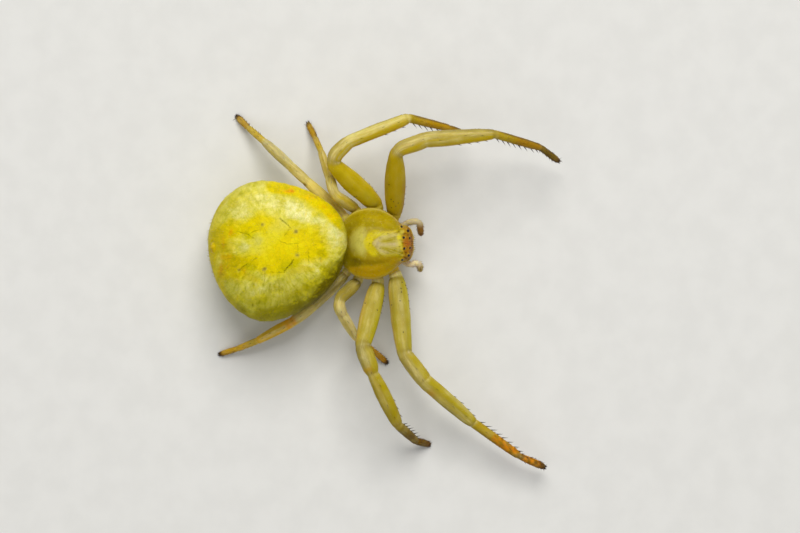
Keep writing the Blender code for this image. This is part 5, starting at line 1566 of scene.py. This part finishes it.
BRISTLES = {  # forward, left
    "left_1": ((0.96, 2.61), (1.03, 1.96), (1.17, 1.87), (1.31, 1.65), (1.36, 1.80), (1.09, 1.58)),
    "left_2": ((-0.55, 2.04), (-0.44, 2.09), (-0.98, 2.42)),
    "right_1": ((1.54, -1.74), (1.70, -1.83), (1.54, -1.98), (1.48, -2.15), (1.49, -2.54), (1.08, -2.75), (1.58, -3.92)),
    "right_2": ((0.46, -2.92), (-0.10, -2.62)),
}


def seen_at(part, places):
    """Length codes and shares round of the skin that lies under given places, seen from above."""
    q, a = [], []
    hidden = np.where(part.normal[..., 2] > 0.15, 0.0, 9.0)
    for f, left_ in places:
        d = np.hypot(-part.rings[..., 1] - f, part.rings[..., 0] - left_) + hidden
        i, j = np.unravel_index(np.argmin(d), d.shape)
        q.append(part.q[i])
        a.append(j / part.rings.shape[1])
    return np.array(q), np.array(a)


for name in LEGS:
    part = parts[f"leg_{name}"]
    left = name.startswith("left")
    kind = name[-1]
    spans = [math.hypot(r, z) for r, _, z in LEGS[name][1]]

    def angle(degrees):
        """Share round at so many degrees from straight up toward the forward side."""
        d = 90 - degrees if left else 90 + degrees
        return d / 360

    # fine hair lying toward the tip, denser outward
    for length_code, density in enumerate((0, 46, 60, 62, 95, 150)):
        count = int(density * spans[length_code] * (1.0 if kind in "12" else 0.8))
        if not count:
            continue
        q = length_code + rng.uniform(0.03, 0.97, count)
        a = rng.uniform(0, 1, count)
        p, out, way, uv, tone = roots(part, q, a)
        way = way + 0.25 * rng.normal(size=way.shape)
        size = rng.uniform(0.07, 0.135, count) * (0.9 if length_code > 3 else 1.0)
        fine.grow(p, out, way, size, rng.uniform(0.0040, 0.0058, count), rng.uniform(0.70, 0.86, count), 0.30, uv,
                  tone * rng.uniform(0.55, 1.05, (count, 1)))
    # dark short hair toward the tips, under and at the sides
    count = int(46 * (spans[4] * 0.6 + spans[5] * 1.6))
    q = np.concatenate((rng.uniform(4.3, 5.0, count // 3), rng.uniform(5.0, 5.97, count - count // 3)))
    a = np.array([angle(x) for x in rng.normal(120, 70, count)])
    p, out, way, uv, tone = roots(part, q, a)
    dark.grow(p, out, way + 0.15 * rng.normal(size=way.shape), rng.uniform(0.08, 0.15, count), rng.uniform(0.006, 0.0085, count),
              rng.uniform(0.50, 0.72, count), 0.3, uv, tint(tone, DARK_BROWN, rng.uniform(0.4, 0.9, count)))
    if kind in "12":
        # paired stout spines under the tibia and metatarsus
        rows = {"left_1": ((0.10, 0.22, 0.33, 0.45, 0.57, 0.70, 0.84, 0.95), (0.46, 0.60, 0.72, 0.85)),
                "right_1": ((0.12, 0.24, 0.35, 0.47, 0.58, 0.71, 0.85, 0.96), (0.50, 0.64, 0.78, 0.90)),
                "left_2": ((0.16, 0.30, 0.44, 0.58, 0.74, 0.90), (0.55, 0.70, 0.84)),
                "right_2": ((0.18, 0.32, 0.46, 0.60, 0.75, 0.91), (0.55, 0.70, 0.84))}[name]
        for degrees, offset in ((96, 0.0), (158, 0.03)):
            q = 4 + np.array(rows[0]) + offset - 0.03
            p, out, way, uv, tone = roots(part, q, np.full(len(q), angle(degrees)))
            size = blend(0.23, 0.34, np.sin(math.pi * np.clip(np.array(rows[0]), 0, 1)) ** 0.7) * rng.uniform(0.93, 1.07, len(q))
            spines.grow(p, out, way, size, 0.027, 0.56, 0.18, uv, DARK_BROWN)
            q = 3 + np.array(rows[1]) + offset
            p, out, way, uv, tone = roots(part, q, np.full(len(q), angle(degrees + 8)))
            spines.grow(p, out, way, 0.22 * rng.uniform(0.9, 1.1, len(q)), 0.025, 0.66, 0.2, uv, DARK_BROWN)
        # short black bristles scattered over the upper side of the femur
        q, a = seen_at(part, BRISTLES[name])
        p, out, way, uv, tone = roots(part, q, a)
        spines.grow(p, out, way, rng.uniform(0.08, 0.11, len(q)), 0.026, 0.40, 0.2, uv, DARK_BROWN)
        q = 1 + np.array((0.14, 0.22, 0.30, 0.40)) + 0.02
        a = np.array([angle(x) for x in (78, 84, 80, 88)])
        p, out, way, uv, tone = roots(part, q, a)
        spines.grow(p, out, way, 0.09, 0.015, 0.45, 0.2, uv, DARK_BROWN)
    # single bristles on the knee and shin, all legs
    q = np.array((2.55, 2.92, 3.18, 3.55, 3.80, 4.25))
    a = np.array([angle(x) for x in (5, -8, 12, -5, 4, 0)])
    p, out, way, uv, tone = roots(part, q, a)
    spines.grow(p, out, way, np.array((0.17, 0.15, 0.20, 0.19, 0.16, 0.14)) * (1 if kind in "12" else 0.9), 0.0085, 0.42, 0.25, uv, tint(tone, DARK_BROWN, 0.55))
    # two hooked claws over a dark tuft
    tip = part.rings[-1].mean(0)
    way = unit(part.rings[-1].mean(0) - part.rings[-9].mean(0))
    side = unit(np.cross(way, UP))
    over = np.cross(side, way)
    r = float(np.linalg.norm(part.rings[-5] - part.rings[-5].mean(0), axis=1).mean())
    uv = on_map(part.strip, np.array([0.995]), np.array([0.25]))
    drop = 0.35 if name in STANDING else 0.9
    for sign in (-1, 1):
        root = (tip + side * sign * r * 0.34 + over * r * 0.30 - way * 0.02)[None]
        start = unit(way * 1.0 + over * 0.25 + side * sign * 0.25)[None]
        bend = unit(-over * drop + way * 0.7)[None]
        claws.grow(root, start, bend, 0.155, 0.026, 0.05, 1.5, uv, DARK_BROWN)
    count = 54
    spread = rng.normal(size=(count, 2)) * 0.42
    root = tip + side * (spread[:, :1] * r * 0.9) + over * (spread[:, 1:] * r * 0.9 - r * 0.12) - way * 0.03
    start = unit(way + side * spread[:, :1] * 0.9 + over * (spread[:, 1:] * 0.7 - (0.10 if name in STANDING else 0.30)))
    bend = unit(way - over * (0.15 if name in STANDING else 0.8) + side * spread[:, :1])
    size = rng.uniform(0.08, 0.14, count)
    if name in STANDING:
        size = np.where(root[:, 2] + start[:, 2] * size < 0.01, size * 0.5, size)
    tufts.grow(root, start, bend, size, 0.009, 0.05, 0.5, np.repeat(uv, count, 0), DARK_BROWN * rng.uniform(0.5, 1.6, (count, 1)))

# palps: a brush of brown hairs at the tip
for name in PALPS:
    part = parts[f"palp_{name}"]
    count = 210
    q = np.concatenate((rng.uniform(1.2, 3.0, 80), rng.uniform(3.0, 4.0, count - 80)))
    p, out, way, uv, tone = roots(part, q, rng.uniform(0, 1, count))
    fine.grow(p, out, way + 0.3 * rng.normal(size=way.shape), rng.uniform(0.08, 0.15, count), rng.uniform(0.005, 0.007, count),
              rng.uniform(0.45, 0.7, count), 0.35, uv, tint(tone, BROWN, rng.uniform(0.1, 0.7, count)))
    q = rng.uniform(3.3, 3.98, 34)
    p, out, way, uv, tone = roots(part, q, rng.uniform(0, 1, 34))
    dark.grow(p, out, way, rng.uniform(0.08, 0.14, 34), 0.0075, rng.uniform(0.4, 0.6, 34), 0.3, uv, tint(tone, DARK_BROWN, 0.7))

# carapace: short scattered bristles, a fringe over the face, a few tall ones by the eyes
shell = parts["cephalothorax"]
count = 330
f = rng.uniform(-1.1, 1.95, count)
a = rng.uniform(0.03, 0.60, count)
p, out, way, uv, tone = roots(shell, f, a)
keep = out[:, 2] > 0.05
fine.grow(p[keep], out[keep], (way + 0.3 * rng.normal(size=way.shape))[keep], rng.uniform(0.07, 0.13, keep.sum()), 0.0055,
          rng.uniform(0.4, 0.65, keep.sum()), 0.35, uv[keep], (tone * 0.7)[keep])
bristles = np.array([(1.98, x) for x in np.linspace(-0.40, 0.40, 9)] + [(1.70, 0.0), (1.56, 0.02), (1.42, 0.16), (1.42, -0.14), (1.66, 0.42), (1.68, -0.40),
                     (1.40, 0.52), (1.42, -0.50), (1.20, 0.30), (1.20, -0.28), (0.9, 0.45), (0.9, -0.43), (0.55, 0.24), (0.55, -0.22), (0.1, 0.0)])
top = 61


def share_round(f, side):
    w = carapace_half(f)
    return np.arccos(np.clip(-side / w, -1, 1)) / math.pi * (top - 1) / shell.rings.shape[1]


a = share_round(bristles[:, 0], bristles[:, 1])
p, out, way, uv, tone = roots(shell, bristles[:, 0], a)
size = np.where(bristles[:, 0] > 1.9, 0.22, 0.15)
spines.grow(p, out, way, size, 0.0085, 0.40, 0.15, uv, srgb(70, 40, 14))

for name, sign in (("chelicera_left", 1), ("chelicera_right", -1)):
    jaw = parts[name]
    count = 60
    q = rng.uniform(0.35, 0.92, count)
    p, out, way, uv, tone = roots(jaw, q, rng.uniform(0, 1, count))
    keep = -out[:, 1] > 0.0
    fine.grow(p[keep], out[keep], way[keep], rng.uniform(0.08, 0.14, keep.sum()), 0.006, 0.5, 0.3, uv[keep], tint(tone, BROWN, 0.6)[keep])
    # the fang folds inward under the jaw
    root = place(1.76, 0.025 + sign * 0.20, 1.29)[None]
    start = unit(np.array((sign * 0.2, 0.15, -1.0)))[None]
    bend = unit(np.array((-sign * 1.0, 0.35, -0.15)))[None]
    uvf = on_map(jaw.strip, np.array([0.98]), np.array([0.5]))
    claws.grow(root, start, bend, 0.26, 0.042, 0.10, 1.3, uvf, srgb(80, 34, 12))

# abdomen: very short hairs, sparse, lying backward
back = parts["abdomen"]
count = 2300
t = rng.beta(1.15, 1.15, count)
a = rng.uniform(0, 1, count)
p, out, way, uv, tone = roots(back, t, a)
fine.grow(p, out, way + 0.35 * rng.normal(size=way.shape), rng.uniform(0.06, 0.115, count), rng.uniform(0.0042, 0.006, count),
          rng.uniform(0.35, 0.65, count), 0.4, uv, tone * rng.uniform(0.45, 0.95, (count, 1)))
count = 150
p0 = place(*TAIL)
t = rng.uniform(0.955, 0.999, count)
p, out, way, uv, tone = roots(back, t, rng.uniform(0, 1, count))
fine.grow(p, out, unit(way + 0.6 * rng.normal(size=way.shape)), rng.uniform(0.09, 0.17, count), 0.006, 0.35, 0.3, uv, tone * 0.6)
for k in range(1, 7):
    cone = parts[f"spinneret_{k}"]
    p, out, way, uv, tone = roots(cone, rng.uniform(0.5, 0.97, 26), rng.uniform(0, 1, 26))
    fine.grow(p, out, way, rng.uniform(0.05, 0.09, 26), 0.005, 0.6, 0.2, uv, tone * 0.7)

fine.build(hair_material("fine_hair_looks", 0.15))
dark.build(dark_material("dark_hair_looks", srgb(58, 34, 16), srgb(96, 60, 26)))
spines.build(dark_material("spine_looks", srgb(16, 10, 7), srgb(40, 24, 14)))
tufts.build(dark_material("tuft_looks", srgb(30, 18, 12), srgb(64, 40, 24), (0.45, 0.65)))
claws.build(dark_material("claw_looks", srgb(20, 12, 8), srgb(62, 30, 14), (0.15, 0.30)))


# ---------------------------------------------------------------------- eyes
eye_look = eye_material()
for name, (ef, es, er) in EYES.items():
    kind = name.split("_", 2)[2]
    f, s = np.array(ef), np.array(es)
    d = 0.02
    here = place(f, s, carapace_height(f, s))
    ahead = place(f + d, s, carapace_height(f + d, s)) - here
    left = place(f, s + d, carapace_height(f, s + d)) - here
    out = unit(np.cross(left, ahead))
    if out[2] < 0:
        out = -out
    seat = here + out * (EYE_MOUNDS[kind][0] - 0.004)
    # a lens: a deep dome with a flattened pole, on a narrow collar
    profile = ((-0.060, 0.62), (-0.030, 0.86), (-0.008, 1.0), (0.006, 1.04), (0.012, 0.99), (0.020, 0.965), (0.030, 0.92),
               (0.040, 0.83), (0.048, 0.70), (0.053, 0.54), (0.0565, 0.36), (0.058, 0.16))
    m = 32
    angles = 2 * math.pi * np.arange(m) / m
    side = unit(np.cross(out, np.array((0.3, 1.0, 0.1))))
    other = np.cross(side, out)
    rings = np.array([seat + out * (h * er / 0.055) + er * r * (side * np.cos(angles)[:, None] + other * np.sin(angles)[:, None])
                      for h, r in profile])
    lens = Part.__new__(Part)
    lens.name, lens.rings, lens.finish = f"lens_{name[4:]}", rings, 0
    lens.s = np.linspace(0, 1, len(rings))
    lens.strip = (0.05, 0.05, 0.95, 0.95, True)
    me = lens.mesh()
    me.materials.append(eye_look)
    ob = shown(lens.name, me)
    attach(ob, "root")
    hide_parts(name)

flesh_nodes = [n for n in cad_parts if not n.startswith("eye_")]
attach(skin, "root")
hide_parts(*flesh_nodes)

# ------------------------------------------------------------ floor and light
floor_mesh = bpy.data.meshes.new("floor")
edge = 0.6
floor_mesh.from_pydata([(-edge, -edge, 0), (edge, -edge, 0), (edge, edge, 0), (-edge, edge, 0)], [], [(0, 1, 2, 3)])
floor = shown("floor", floor_mesh)
paper = Nodes("paper")
floor_mesh.materials.append(paper.finish(paper.mix(paper.span(paper.noise(paper.millimetres(), 0.8, 3.0, 0.5), 0.3, 0.7, 0.0, 1.0),
                                                   srgb(222, 221, 217), srgb(226, 225, 221)), 0.85))


def softbox(name, where, aim, size, watts, colour=(1.0, 1.0, 1.0)):
    light = bpy.data.lights.new(name, "AREA")
    light.shape, light.size, light.energy, light.color = "DISK", size, watts, colour
    ob = bpy.data.objects.new(name, light)
    ob.location = where
    ob.rotation_euler = (Vector(aim) - Vector(where)).to_track_quat("-Z", "Y").to_euler()
    bpy.context.scene.collection.objects.link(ob)


softbox("key", (0.20, -0.02, 0.28), (0.0, 0.0, 0.0), 0.24, 1.01, (1.0, 0.985, 0.955))
softbox("fill", (-0.15, 0.05, 0.36), (0.0, 0.0, 0.0), 0.34, 0.28, (0.98, 0.99, 1.0))
world = bpy.data.worlds.new("studio")
world.use_nodes = True
world.node_tree.nodes["Background"].inputs["Color"].default_value = (0.93, 0.95, 0.97, 1.0)
world.node_tree.nodes["Background"].inputs["Strength"].default_value = 0.27
bpy.context.scene.world = world
bpy.context.scene.view_settings.view_transform = "Standard"

# --------------------------------------------------------------------- camera
# Straight above, with the head toward the right of the picture.
VIEW_HEIGHT, LEVEL, SCALE = 220.0, 2.7, 22.5  # camera height, the level the scale is taken at, pixels to the millimetre
camera_data = bpy.data.cameras.new("camera")
camera_data.sensor_fit = "HORIZONTAL"
camera_data.sensor_width = 36.0
camera_data.lens = 36.0 * SCALE * (VIEW_HEIGHT - LEVEL) / 800.0
camera_data.clip_start, camera_data.clip_end = 0.01, 10.0
camera = bpy.data.objects.new("camera", camera_data)
eye_point = (place(1.467, -1.022, VIEW_HEIGHT) + SHIFT) * MM
camera.matrix_world = Matrix(((0, 1, 0, eye_point[0]), (-1, 0, 0, eye_point[1]), (0, 0, 1, eye_point[2]), (0, 0, 0, 1)))
bpy.context.scene.collection.objects.link(camera)
bpy.context.scene.camera = camera
